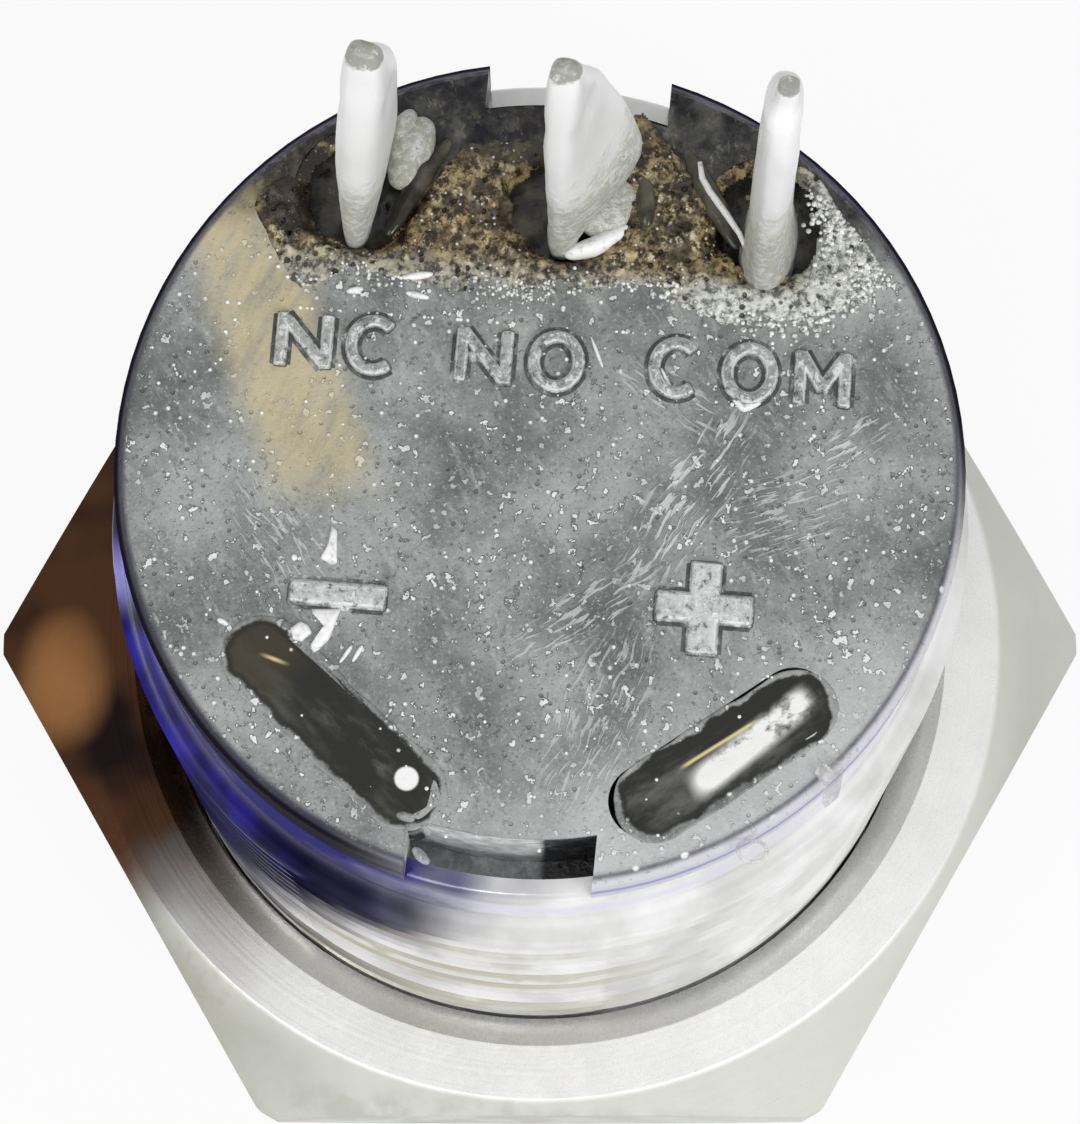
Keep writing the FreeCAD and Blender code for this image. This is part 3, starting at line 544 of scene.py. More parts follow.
def flux_finish():
    """Boiled flux: gold-brown bubbly crust with black streaks, whitish to the right; its black hollows are
    painted shade, and the pale lump tops and the glints are painted highlights.
    """
    f = Finish("boiled_flux", Specular_IOR_Level=0.40, Coat_Weight=0.08)
    lumps = f.noise(0.24, 6, 0.75)
    patch = f.noise(1.0, 5, 0.65)
    height = (f.z - FACE_Z).step(0.03, 0.20)
    gold = f.mix(lumps.step(0.42, 0.58), (0.024, 0.013, 0.005), (0.44, 0.33, 0.15))
    gold = f.mix(patch.step(0.54, 0.42) * 0.80, gold, (0.020, 0.011, 0.005))
    streaks = f.noise(0.55, 5, 0.7, at=f.stretched(1.8, 0.5, 1, turn=25)).step(0.52, 0.60)
    gold = f.mix(streaks * 0.75, gold, (0.010, 0.006, 0.004))
    # Painted highlights: pale gold on the tops of raised lumps.
    gold = f.mix(height * lumps.step(0.48, 0.56) * 0.8, gold, (0.92, 0.84, 0.56))
    burnt = ((f.x + 5.3) * (f.x + 5.3) + (f.y - 5.5) * (f.y - 5.5) + patch * 1.6 - 0.8).step(1.3, 0.7)
    gold = f.mix(burnt * 0.92, gold, (0.012, 0.006, 0.004))
    smooth_top = (f.y - 6.1 + patch * 0.8 - 0.4).step(0.2, 0.7) * f.x.bell(-1.2, 3.4)
    gold = f.mix(smooth_top * 0.8, gold, (0.040, 0.036, 0.028))
    whitish = f.mix(lumps.step(0.40, 0.56), (0.14, 0.15, 0.13), (0.80, 0.82, 0.78))
    greyed = f.mix(lumps.step(0.42, 0.56), (0.07, 0.068, 0.058), (0.52, 0.50, 0.42))
    gold = f.mix(f.y.step(4.6, 3.9) * 0.8, gold, greyed)
    pale = (f.x.step(4.7, 5.5).most(f.y.step(4.4, 3.9) * f.x.step(2.0, 3.4)) * 0.9).held()
    colour = f.mix(pale, gold, whitish)
    # Painted highlights: tiny bright glints.
    glints = f.dots(0.15, 0.34, 0.30)
    colour = f.mix(glints * 0.85 * (1 - burnt * 0.8), colour, (0.95, 0.93, 0.84))
    # Painted shade: black in small hollows.
    hollows = f.dots(0.20, 0.34, 0.36)
    colour = f.mix(hollows * 0.9, colour, (0.016, 0.010, 0.006))
    f.set(Base_Color=colour, Roughness=0.12 + lumps * 0.25)
    f.bump(lumps * 0.5 + glints * 0.5 - hollows * 0.7, 0.10)
    return f.material


def resin_finish(name, dark, light, patch=1.1):
    """Wet resin: dark and glossy, with cloudy smoke in it."""
    f = Finish(name, Coat_Weight=0.15, Coat_Roughness=0.04, Specular_IOR_Level=0.35)
    smoke = f.noise(patch, 5, 0.6)
    specks = f.dots(0.5, 0.18, 0.14)
    colour = f.mix(smoke.step(0.42, 0.75), dark, light)
    f.set(Base_Color=f.mix(specks * 0.7, colour, (0.55, 0.50, 0.32)), Roughness=0.08 + smoke * 0.12)
    f.bump(smoke, 0.05)
    return f.material


def slot_finish(name, one, two, dark, smoky, clear):
    """Resin in a slot from one end centre to the other; clear paints its marks and painted highlights by run
    and across.
    """
    f = Finish(name, Coat_Weight=0.2, Coat_Roughness=0.04, Specular_IOR_Level=0.35)
    length = math.hypot(two[0] - one[0], two[1] - one[1])
    cosine, sine = (two[0] - one[0]) / length, (two[1] - one[1]) / length
    run = (f.x - one[0]) * cosine + (f.y - one[1]) * sine
    across = (f.y - one[1]) * cosine - (f.x - one[0]) * sine
    beyond = (abs(run - length / 2) - length / 2).most(0)
    away = (beyond * beyond + across * across) ** 0.5
    smoke = f.noise(0.9, 6, 0.65, at=f.stretched(0.35, 1, 1, turn=-math.degrees(math.atan2(sine, cosine))))
    colour = f.mix(smoke.step(0.44, 0.70), dark, smoky)
    colour = clear(f, colour, run, across, smoke)
    dust = f.dots(0.34, 0.16, 0.16)
    colour = f.mix(dust * 0.8, colour, (0.86, 0.86, 0.78))
    face = face_colours(f)[0]
    ragged = away + f.noise(0.7, 4, 0.6) * 0.5 - 0.25
    colour = f.mix(ragged.bell(0.66, 0.10) * 0.8, colour, (0.008, 0.008, 0.006))
    colour = f.mix(ragged.step(0.70, 0.78), colour, face)
    f.set(Base_Color=colour, Roughness=0.07 + smoke * 0.12)
    f.bump(smoke * 0.6 + f.noise(0.16, 4) * 0.4, 0.05)
    return f.material


def minus_smoke_and_highlights(f, colour, run, across, smoke):
    """Brown end with a gold glint, a smoky streak down the middle and one round highlight."""
    colour = f.mix(run.step(1.1, 0.2) * 0.7, colour, (0.050, 0.038, 0.018))
    # Painted highlights: a gold glint near the brown end and a round white highlight near the far end.
    glint = run.bell(0.25, 0.35) * (across - run * 0.4).bell(0.02, 0.07)
    colour = f.mix(glint, colour, (0.75, 0.62, 0.28))
    streak = across.bell(0.10, 0.42) * run.bell(2.7, 1.6) * smoke.step(0.40, 0.62)
    colour = f.mix(streak * 0.7, colour, (0.42, 0.43, 0.38))
    spot = ((run - 3.95) * (run - 3.95) + (across - 0.20) * (across - 0.20)).step(0.075, 0.045)
    return f.mix(spot, colour, (0.96, 0.96, 0.96))


def plus_highlight_and_line(f, colour, run, across, smoke):
    """A broad white highlight along the lower side and a gold line beside it."""
    # Painted highlight: a broad white band along the lower side, cloudy at its edges.
    band = (across - run * 0.12 + 0.36).bell(0, 0.42) * run.step(0.6, 1.3) * run.step(4.0, 3.4)
    cloudy = (smoke * 0.6 + f.noise(0.45, 4, 0.6) * 0.4).step(0.38, 0.54)
    colour = f.mix((band * 2.2 * cloudy).held(), colour, (0.93, 0.93, 0.91))
    line = (across - 0.27 + smoke * 0.06).bell(0, 0.06) * run.step(0.7, 1.0) * run.step(2.7, 2.4)
    return f.mix(line, colour, (0.78, 0.66, 0.30))


# Meshes
def grid_faces(rows, columns, first, wrap_rows=False, wrap_columns=False):
    """Quads of a grid of points, numbered from first, with its ends joined where it wraps."""
    row = np.arange(rows if wrap_rows else rows - 1)
    column = np.arange(columns if wrap_columns else columns - 1)
    i, j = (part.ravel() for part in np.meshgrid(row, column, indexing="ij"))
    i2, j2 = (i + 1) % rows, (j + 1) % columns
    return np.stack([i * columns + j, i * columns + j2, i2 * columns + j2, i2 * columns + j], axis=1) + first


def sheets_to_mesh(name, sheets):
    """One welded mesh, faces outward, from grids of points and whether their rows and columns wrap."""
    points, faces, first = [], [], 0
    for grid, wrap_rows, wrap_columns in sheets:
        rows, columns = grid.shape[:2]
        points.append(grid.reshape(-1, 3))
        faces.append(grid_faces(rows, columns, first, wrap_rows, wrap_columns))
        first += rows * columns
    return points_to_mesh(name, np.concatenate(points), np.concatenate(faces))


def points_to_mesh(name, points, faces, weld=True):
    """Mesh from points in millimetres and quads, merged where points meet."""
    mesh = bpy.data.meshes.new(name)
    mesh.vertices.add(len(points))
    mesh.vertices.foreach_set("co", (points * MM).astype(np.float32).ravel())
    mesh.loops.add(faces.size)
    mesh.loops.foreach_set("vertex_index", faces.astype(np.int32).ravel())
    mesh.polygons.add(len(faces))
    mesh.polygons.foreach_set("loop_start", np.arange(0, faces.size, faces.shape[1], dtype=np.int32))
    mesh.update(calc_edges=True)
    if weld:
        work = bmesh.new()
        work.from_mesh(mesh)
        bmesh.ops.remove_doubles(work, verts=work.verts, dist=0.0004 * MM)
        bmesh.ops.dissolve_degenerate(work, edges=work.edges, dist=0.0002 * MM)
        bmesh.ops.recalc_face_normals(work, faces=work.faces)
        work.to_mesh(mesh)
        work.free()
    return mesh


def add_piece(mesh, body, finish, stands_for=(), crease=40):
    """Puts a finished mesh in the scene: smooth but for sharp edges, riding on its body."""
    mesh.polygons.foreach_set("use_smooth", np.ones(len(mesh.polygons), dtype=bool))
    mesh.set_sharp_from_angle(angle=math.radians(crease))
    piece = bpy.data.objects.new(mesh.name, mesh)
    bpy.context.scene.collection.objects.link(piece)
    mesh.materials.append(finish)
    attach(piece, body)
    if stands_for:
        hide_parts(*stands_for)
    return piece


def add_sheets(name, sheets, finish, stands_for=(), crease=40, body="barrel"):
    """Welds grids of points into one mesh and puts it in the scene as a piece."""
    return add_piece(sheets_to_mesh(name, sheets), body, finish, stands_for, crease)


def mixed(code, seed):
    """Whole numbers to even random numbers from 0 to 1, by multiplying and folding their bits."""
    code = (code * 374761393 + seed * 668265263) & 0xFFFFFFFF
    code = ((code ^ (code >> 13)) * 1274126177) & 0xFFFFFFFF
    return ((code ^ (code >> 16)) & 0xFFFF) / 65535


def lumps(x, y, size, seed=1):
    """Smooth noise from -1 to 1: random heights on square lattices, blended by a cubic, in three octaves."""
    total, weight = 0, 0
    for octave in range(3):
        u, v = x / size * 2 ** octave + 100, y / size * 2 ** octave + 100
        i, j = np.floor(u).astype(np.int64), np.floor(v).astype(np.int64)
        s, t = u - i, v - j
        s, t = s * s * (3 - 2 * s), t * t * (3 - 2 * t)
        corner = [[mixed((i + a) * 7919 + (j + b) * 104729, seed + octave) for b in (0, 1)] for a in (0, 1)]
        low = corner[0][0] * (1 - t) + corner[0][1] * t
        high = corner[1][0] * (1 - t) + corner[1][1] * t
        total = total + (low * (1 - s) + high * s - 0.5) * 2 ** (1 - octave)
        weight += 0.5 ** octave
    return total / weight


def eased(value, low, high):
    """0 below low and 1 above high, with a cubic between."""
    share = np.clip((value - low) / (high - low), 0, 1)
    return share * share * (3 - 2 * share)


def unit(vectors):
    """Vectors scaled to a length of 1."""
    return vectors / np.linalg.norm(vectors, axis=-1, keepdims=True)


def run_along(points):
    """Length of a line of points from its start to each of them."""
    return np.concatenate([[0], np.cumsum(np.linalg.norm(np.diff(points, axis=0), axis=1))])


def turned(profile, steps):
    """Surface of revolution: each (radius, z) of a profile carried round the axis."""
    radius, z = (np.asarray(part, float) for part in zip(*profile))
    angle = np.linspace(0, TAU, steps, endpoint=False)
    return np.stack([radius[:, None] * np.cos(angle), radius[:, None] * np.sin(angle),
                     np.broadcast_to(z[:, None], (len(z), steps))], axis=-1)


def tube(path, radius, sides=12):
    """Round bar: a circle carried along a path of points, square to its direction at each, ends closed."""
    path = np.asarray(path, float)
    radius = np.broadcast_to(np.asarray(radius, float), len(path))
    nearly_up = [0.03, 0.02, 1.0]
    ahead = unit(np.gradient(path, axis=0))
    side = unit(np.cross(ahead, nearly_up))
    up = np.cross(side, ahead)
    angle = np.linspace(0, TAU, sides, endpoint=False)
    ring = side[:, None] * np.cos(angle)[:, None] + up[:, None] * np.sin(angle)[:, None]
    grid = path[:, None] + ring * radius[:, None, None]
    first, last = (np.repeat(end[:, None], sides, 1) for end in (path[:1], path[-1:]))
    return np.concatenate([first, grid, last]), False, True


# Housing and springs
def threaded_housing():
    """Turned housing; the thread's radius falls and rises once per pitch of z less the turn's share."""
    low, high = THREAD_Z
    height, around = np.meshgrid(np.arange(low, high, THREAD_PITCH / 8),
                                 np.linspace(0, TAU, HOUSING_STEPS, endpoint=False), indexing="ij")
    phase = (height - around / TAU * THREAD_PITCH) / THREAD_PITCH % 1
    crest = np.clip(np.abs(phase - 0.5) * 2 * 1.25 - 0.12, 0, 1)
    fade = eased(height, low, low + 0.8) * eased(height, high, high - 0.8)
    radius = THREAD_R - 0.02 - THREAD_DEPTH * (1 - crest) * fade
    radius = radius - (THREAD_R - NECK_R) * eased(height, high - 0.45, high + 0.1)
    thread = np.stack([radius * np.cos(around), radius * np.sin(around), height], axis=-1)
    front = [(CAP_HOLE_R, FLOOR_Z), (CAP_HOLE_R, 0.12), (CAP_HOLE_R + 0.12, 0.0)]
    front += [(BEZEL_R - BEZEL_ROUND + BEZEL_ROUND * math.sin(a), BEZEL_ROUND - BEZEL_ROUND * math.cos(a))
              for a in np.linspace(0, math.pi / 2, 7)]
    front += [(BEZEL_R, BEZEL_Z - 0.15), (BEZEL_R - 0.05, BEZEL_Z - 0.04), (BEZEL_R - 0.15, BEZEL_Z),
              (THREAD_R, BEZEL_Z), (THREAD_R - 0.02, BEZEL_Z + 0.2)]
    rear = [(NECK_R, high + 0.2), (NECK_R, RIM_Z - 0.14), (NECK_R - 0.05, RIM_Z - 0.04),
            (NECK_R - 0.14, RIM_Z), (SEAT_R, RIM_Z), (SEAT_R, SEAT_Z), (BORE_R, SEAT_Z), (BORE_R, FLOOR_Z)]
    grid = np.concatenate([turned(front, HOUSING_STEPS), thread, turned(rear, HOUSING_STEPS)])
    add_sheets("housing_shell", [(grid, True, True)], steel_finish(), ["housing"], crease=50)


def spring(name, node, wire, pitch, body, whole_turns=True):
    """Coil spring: a round wire whose middle climbs evenly as it turns.
    """
    low, high = limits(node)
    centre = (low + high) / 2
    radius = (high[0] - low[0]) / 2 - wire / 2
    rise = high[2] - low[2] - wire
    turns = round(rise / pitch) if whole_turns else rise / pitch
    turn = np.linspace(0, TAU * turns, int(40 * turns))
    path = np.stack([centre[0] + radius * np.cos(turn), centre[1] + radius * np.sin(turn),
                     low[2] + wire / 2 + turn / TAU / turns * rise], axis=1)
    piece = add_sheets(name, [tube(path, wire / 2)], spring_finish(), [node], body=body)
    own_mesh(piece)


# Terminals: rows of z, near edge x and y, far edge x and y, and thickness
TAB_ROWS = {
    "nc": [(24.62, -4.32, 4.50, -4.18, 6.60, 0.60), (25.6, -4.30, 4.45, -4.16, 6.75, 0.64),
           (27.5, -4.22, 4.35, -3.94, 6.90, 0.86), (29.7, -4.10, 4.25, -3.80, 6.95, 1.02),
           (32.0, -3.98, 4.42, -3.74, 6.80, 1.06), (33.5, -3.90, 4.76, -3.68, 6.28, 0.98),
           (34.4, -3.86, 5.08, -3.70, 5.95, 0.86), (34.95, -3.84, 5.28, -3.72, 5.82, 0.70),
           (35.17, -3.82, 5.42, -3.74, 5.74, 0.50)],
    "no": [(24.62, 0.12, 4.70, 0.06, 6.20, 0.60), (25.8, 0.02, 4.62, 0.30, 6.35, 0.72),
           (26.8, -0.05, 4.58, 0.95, 6.50, 0.78), (27.8, -0.08, 4.55, 1.42, 6.45, 0.80),
           (28.8, -0.10, 4.52, 1.50, 6.40, 0.82), (30.2, -0.10, 4.50, 1.18, 6.60, 0.86),
           (31.6, -0.08, 4.55, 0.66, 6.70, 0.84), (33.2, -0.06, 4.76, 0.34, 6.30, 0.80),
           (34.4, -0.02, 5.08, 0.16, 5.92, 0.72), (34.9, 0.02, 5.28, 0.12, 5.80, 0.60),
           (35.12, 0.05, 5.40, 0.12, 5.70, 0.44)],
    "com": [(24.62, 4.40, 4.10, 4.55, 6.40, 1.40), (25.4, 4.40, 4.12, 4.50, 6.45, 1.18),
            (26.4, 4.36, 4.20, 4.46, 6.65, 0.92), (28.2, 4.30, 4.25, 4.42, 6.95, 0.86),
            (30.5, 4.27, 4.25, 4.38, 6.95, 0.84), (32.8, 4.23, 4.52, 4.32, 6.58, 0.80),
            (34.2, 4.22, 4.90, 4.29, 6.05, 0.74), (34.45, 4.24, 5.20, 4.30, 5.88, 0.50),
            (34.8, 4.27, 5.32, 4.31, 5.80, 0.44), (35.12, 4.28, 5.42, 4.31, 5.70, 0.38)],
}
SECTION_POWER = 2.6
WIRE_HOLE_Z = 32.9
# Half the leg's thickness and width, and the thickness of the foot under it
LEG = np.array([0.25, 0.75])
FOOT = 0.4
# The foot is this much smaller than the leg all round, so that no two faces lie in one plane
SLACK = 0.01
# What each foot carries: a fixed contact, or the blade on the common one
CONTACTS = {"nc": "nc_contact", "no": "no_contact"}


def tab_sheet(rows, seed):
    """Solder-coated tab: a rounded section between a near and a far edge that follow smooth curves in z."""
    rows = np.array(rows, float)
    low, tip, top = rows[[0, -2, -1], 0]
    height = np.concatenate([np.linspace(low, tip, 84), np.linspace(tip, top, 7)[1:]])
    near_x, near_y, far_x, far_y, thick = (
        smooth_curve(rows[:, 0], rows[:, column], height)[:, None] for column in range(1, 6))
    middle_x, middle_y = (near_x + far_x) / 2, (near_y + far_y) / 2
    width = np.hypot(far_x - near_x, far_y - near_y)
    angle = np.linspace(0, TAU, 72, endpoint=False)
    cosine, sine = np.cos(angle), np.sin(angle)
    section_x = np.sign(cosine) * np.abs(cosine) ** (2 / SECTION_POWER) / 2
    section_y = np.sign(sine) * np.abs(sine) ** (2 / SECTION_POWER) / 2
    around = np.broadcast_to(angle * 1.2, (len(height), len(angle)))
    rise = np.broadcast_to(height[:, None], around.shape)
    wobble = 1 + 0.09 * lumps(np.cos(around) * 2.0 + seed, rise + np.sin(around) * 0.6, 1.5, seed)
    x = section_x * thick * wobble
    y = section_y * width * (1 + (wobble - 1) * 0.4)
    dimple = np.exp(-((rise - WIRE_HOLE_Z) ** 2 + y ** 2) / 0.28) * 0.12
    x = x - np.sign(x) * np.minimum(dimple, np.abs(x) * 0.5)
    cosine, sine = (far_y - near_y) / width, (far_x - near_x) / width
    grid = np.stack([middle_x + x * cosine + y * sine, middle_y - x * sine + y * cosine, rise], axis=-1)
    ends = [np.broadcast_to(grid[k].mean(axis=0), grid[k].shape)[None] for k in (0, -1)]
    ends[1] = ends[1] + np.array([0, 0, 0.03])
    return np.concatenate([ends[0], grid, ends[1]]), False, True


def smooth_curve(at, values, wanted):
    """Cubic curve through the values; each slope is its neighbours' harmonic mean, so none overshoots."""
    step = np.diff(at)
    slope = np.diff(values) / step
    same = slope[1:] * slope[:-1] > 0
    inner = np.where(same, 2 * slope[1:] * slope[:-1] / np.where(same, slope[1:] + slope[:-1], 1), 0)
    tangent = np.concatenate([[slope[0]], inner, [slope[-1]]])
    k = np.clip(np.searchsorted(at, wanted, side="right") - 1, 0, len(step) - 1)
    t = (wanted - at[k]) / step[k]
    a, b = values[k], values[k + 1]
    return ((2 * t ** 3 - 3 * t ** 2 + 1) * a + (t ** 3 - 2 * t ** 2 + t) * step[k] * tangent[k]
            + (3 * t ** 2 - 2 * t ** 3) * b + (t ** 3 - t ** 2) * step[k] * tangent[k + 1])


def bar_sheet(low, high, edge=0.06):
    """Box with softened edges: a rounded rectangle in plan, drawn in a little at its two ends."""
    low, high = np.asarray(low, float), np.asarray(high, float)
    half, centre = (high - low)[:2] / 2, (high + low)[:2] / 2
    corner = np.linspace(0, math.pi / 2, 4)
    ring = []
    for quarter, signs in enumerate([(1, 1), (-1, 1), (-1, -1), (1, -1)]):
        angle = corner + quarter * math.pi / 2
        arc = np.stack([np.cos(angle), np.sin(angle)], axis=1)
        ring.append(np.array(signs) * (half - edge) + edge * arc)
    ring = np.concatenate(ring)
    drawn_in = 1 - edge / half
    levels = [(low[2], 0), (low[2], drawn_in), (low[2] + edge, 1), (high[2] - edge, 1), (high[2], drawn_in),
              (high[2], 0)]
    grid = [np.column_stack([centre + ring * scale, np.full(len(ring), z)]) for z, scale in levels]
    return np.array(grid), False, True


def terminals():
    """Each terminal's coated tab, with the leg and the foot that it has inside the base."""
    finish = solder_finish()
    for number, name in enumerate(TERMINALS):
        bottom = limits("terminal_" + name)[0][2]
        leg = WELLS[name][:2] - (0, LEG[1])
        if name in CONTACTS:
            reach = [corner[0] for corner in limits(CONTACTS[name])]
        else:
            reach = [limits("snap_blade")[1][0] - 1.1, leg[0]]
        low, high = leg - LEG + SLACK, leg + LEG - SLACK
        low[0], high[0] = min(reach[0], low[0]), max(reach[1], high[0])
        sheets = [tab_sheet(TAB_ROWS[name], 11 + number),
                  bar_sheet((*leg - LEG, bottom + 0.02), (*leg + LEG, WELL_FLOOR_Z + 0.3)),
                  bar_sheet((*low, bottom), (*high, bottom + FOOT))]
        add_sheets("terminal_" + name + "_tinned", sheets, finish, ["terminal_" + name],
                   crease=60)


# Marks on the rear face
LETTER_W = 0.94
STROKE_W = 0.30
MARK_H = 0.19
MARK_EDGE = 0.09
SKIRT_W = 0.07
# Words: left end, foot, width and height
WORDS = {"NC": (-5.60, 1.76, 2.40, 1.06), "NO": (-1.82, 1.70, 2.46, 1.08), "COM": (2.22, 1.76, 4.00, 1.08)}
# Signs: ends of a bar, its width and its height
SIGNS = [((-4.90, -3.08), (-3.00, -3.08), 0.58, 0.170),
         ((2.67, -2.78), (4.57, -2.78), 0.70, 0.170),
         ((3.62, -3.70), (3.62, -1.86), 0.70, 0.168)]
SIGN_EDGE = 0.12


def arc_path(start, end, count=26):
    """Points of an upright oval of one letter's width and height, between two angles in degrees."""
    angle = np.radians(np.linspace(start, end, count))
    return np.stack([0.5 + 0.5 * np.cos(angle), 0.5 + 0.5 * np.sin(angle)], axis=1)


LETTERS = {
    "N": [[(0, 0), (0, 1)], [(0.02, 0.97), (0.98, 0.03)], [(1, 0), (1, 1)]],
    "C": [arc_path(50, 310)],
    "O": [arc_path(90, 450)],
    "M": [[(0, 0), (0, 1)], [(0.02, 0.97), (0.5, 0.30)], [(0.5, 0.30), (0.98, 0.97)], [(1, 1), (1, 0)]],
}


def ridge(path, width, height, edge):
    """Raised stroke on the face: a flat top with sloping sides along a path, mitred where the path turns."""
    path = np.asarray(path, float)
    closed = np.allclose(path[0], path[-1])
    ahead = unit(np.diff(path, axis=0))
    before = np.concatenate([ahead[-1:] if closed else ahead[:1], ahead])
    after = np.concatenate([ahead, ahead[:1] if closed else ahead[-1:]])
    normal = unit(np.stack([-(before + after)[:, 1], (before + after)[:, 0]], axis=1))
    square = np.stack([-before[:, 1], before[:, 0]], axis=1)
    mitre = normal / np.maximum((normal * square).sum(axis=1), 0.45)[:, None]
    half = width / 2
    side = [(half + SKIRT_W, -0.04), (half + SKIRT_W, 0.006), (half, 0.012),
            (half - edge * 0.35, height * 0.6), (half - edge, height * 0.96)]
    profile = [(-across, up) for across, up in side] + [(0, height)] + side[::-1]
    grid = np.stack([np.column_stack([path + mitre * across, np.full(len(path), FACE_Z + up)])
                     for across, up in profile], axis=1)
    if not closed:
        caps = []
        for end, sign in ((0, -1), (-1, 1)):
            way = (before if end == 0 else after)[end] * sign
            low = grid[end].copy()
            low[:, :2] += way * edge
            low[:, 2] = FACE_Z - 0.04
            flat = np.broadcast_to(low.mean(axis=0), low.shape)
            caps.append([low, flat] if end else [flat, low])
        grid = np.concatenate([np.array(caps[0]), grid, np.array(caps[1])])
    return grid, False, True


def word(text, left, bottom, width, height):
    """Ridges for the letters of a word whose letters share out its width."""
    sheets = []
    gap = (width - LETTER_W * len(text)) / max(1, len(text) - 1)
    for number, letter in enumerate(text):
        corner = np.array([left + number * (LETTER_W + gap), bottom])
        for order, stroke in enumerate(LETTERS[letter]):
            path = corner + np.asarray(stroke, float) * (LETTER_W, height)
            sheets.append(ridge(path, STROKE_W, MARK_H - 0.003 * order, MARK_EDGE))
    return sheets


def rear_marks():
    """The plain marks by the terminals, and the minus and plus signs by the slots."""
    sheets = [sheet for text, place in WORDS.items() for sheet in word(text, *place)]
    sheets += [ridge([one, two], width, height, SIGN_EDGE) for one, two, width, height in SIGNS]
    add_sheets("rear_marks", sheets, marks_finish(), crease=30)


# Resin in the slots
SLOT_R = 0.80
# Slots: the centres of their ends, the seed of the fill's waves, and its finish's name, smoke, and marks
# with painted highlights
EPOXY = {
    "epoxy_minus": ((-5.40, -4.47), (-2.22, -7.04), 5, "epoxy_dark", (0.075, 0.078, 0.062), minus_smoke_and_highlights),
    "epoxy_plus": ((2.89, -6.80), (5.67, -4.75), 9, "epoxy_smoky", (0.14, 0.145, 0.13), plus_highlight_and_line),
}
# Rings of a fill's top from its middle out: share of the way and height over the face
FILL_TOP = [(0.0, 0.03), (0.25, 0.035), (0.5, 0.03), (0.72, 0.01), (0.9, 0.015), (0.97, 0.03), (1.0, 0.005),
            (1.0, -0.04)]


def slot_outline(one, two):
    """Points of a slot's middle line at each step round its round-ended outline, and the way out there."""
    along = unit(two - one)
    side = np.array([-along[1], along[0]])
    half = np.linspace(-math.pi / 2, math.pi / 2, 28)[:, None]
    run = np.linspace(0, 1, 26)[1:-1, None]
    cap, flank = np.cos(half) * along + np.sin(half) * side, np.broadcast_to(side, (len(run), 2))
    middle = np.concatenate([np.broadcast_to(two, cap.shape), two + (one - two) * run,
                             np.broadcast_to(one, cap.shape), one + (two - one) * run])
    return middle, np.concatenate([cap, flank, -cap, -flank])


def epoxy_fills():
    """Each fill: rings of a slot's outline, wavy at the face, over a low dome and down the slot."""
    for name, (one, two, seed, finish, smoky, marks_and_highlights) in EPOXY.items():
        middle, out = slot_outline(np.array(one), np.array(two))
        wave = lumps(middle[:, 0] + out[:, 0], middle[:, 1] + out[:, 1], 1.1, seed)
        spread = SLOT_R + 0.07 + 0.10 * wave
        low = limits(name)[0][2]
        levels = [(share, FACE_Z + rise, True) for share, rise in FILL_TOP]
        levels += [(0.90, FACE_Z - 0.06, False), (0.90, low, False), (0.0, low, False)]
        rings = []
        for share, z, wavy in levels:
            reach = (spread if wavy else np.full(len(spread), SLOT_R)) * share
            at = middle + out * reach[:, None]
            dip = 0.06 * lumps(at[:, 0], at[:, 1], 0.9, seed + 3) * (share < 0.8) * wavy
            rings.append(np.column_stack([at, z + dip]))
        look = slot_finish(finish, one, two, (0.009, 0.010, 0.007), smoky, marks_and_highlights)
        add_sheets(name + "_fill", [(np.array(rings), False, True)], look, [name], crease=60)


# Flux, residue and solder round the terminals
LOW_EDGE = np.array([
    (-6.5, 5.0), (-5.9, 4.0), (-5.3, 3.45), (-4.2, 3.75), (-2.8, 3.5), (-1.55, 3.75), (-0.7, 3.55),
    (0.2, 3.75), (1.0, 4.0), (2.2, 3.95), (3.1, 3.55), (4.3, 3.25), (5.2, 3.3), (6.0, 3.65), (6.9, 4.6)])
HIGH_EDGE = np.array([
    (-6.6, 5.6), (-5.8, 6.1), (-4.4, 5.6), (-3.3, 6.6), (-2.4, 6.9), (-1.3, 7.0), (0.0, 7.1), (1.6, 7.8),
    (2.4, 7.2), (3.2, 6.5), (4.4, 7.2), (5.6, 7.3), (6.6, 6.4), (7.2, 5.2)])
CRUST_STEP = 0.05
CRUST_DOMES = 620
SPATTER_BEADS = 170
# Beads and spatter keep off the face's rim
FACE_R = 8.35
SPATTER_R = 8.3


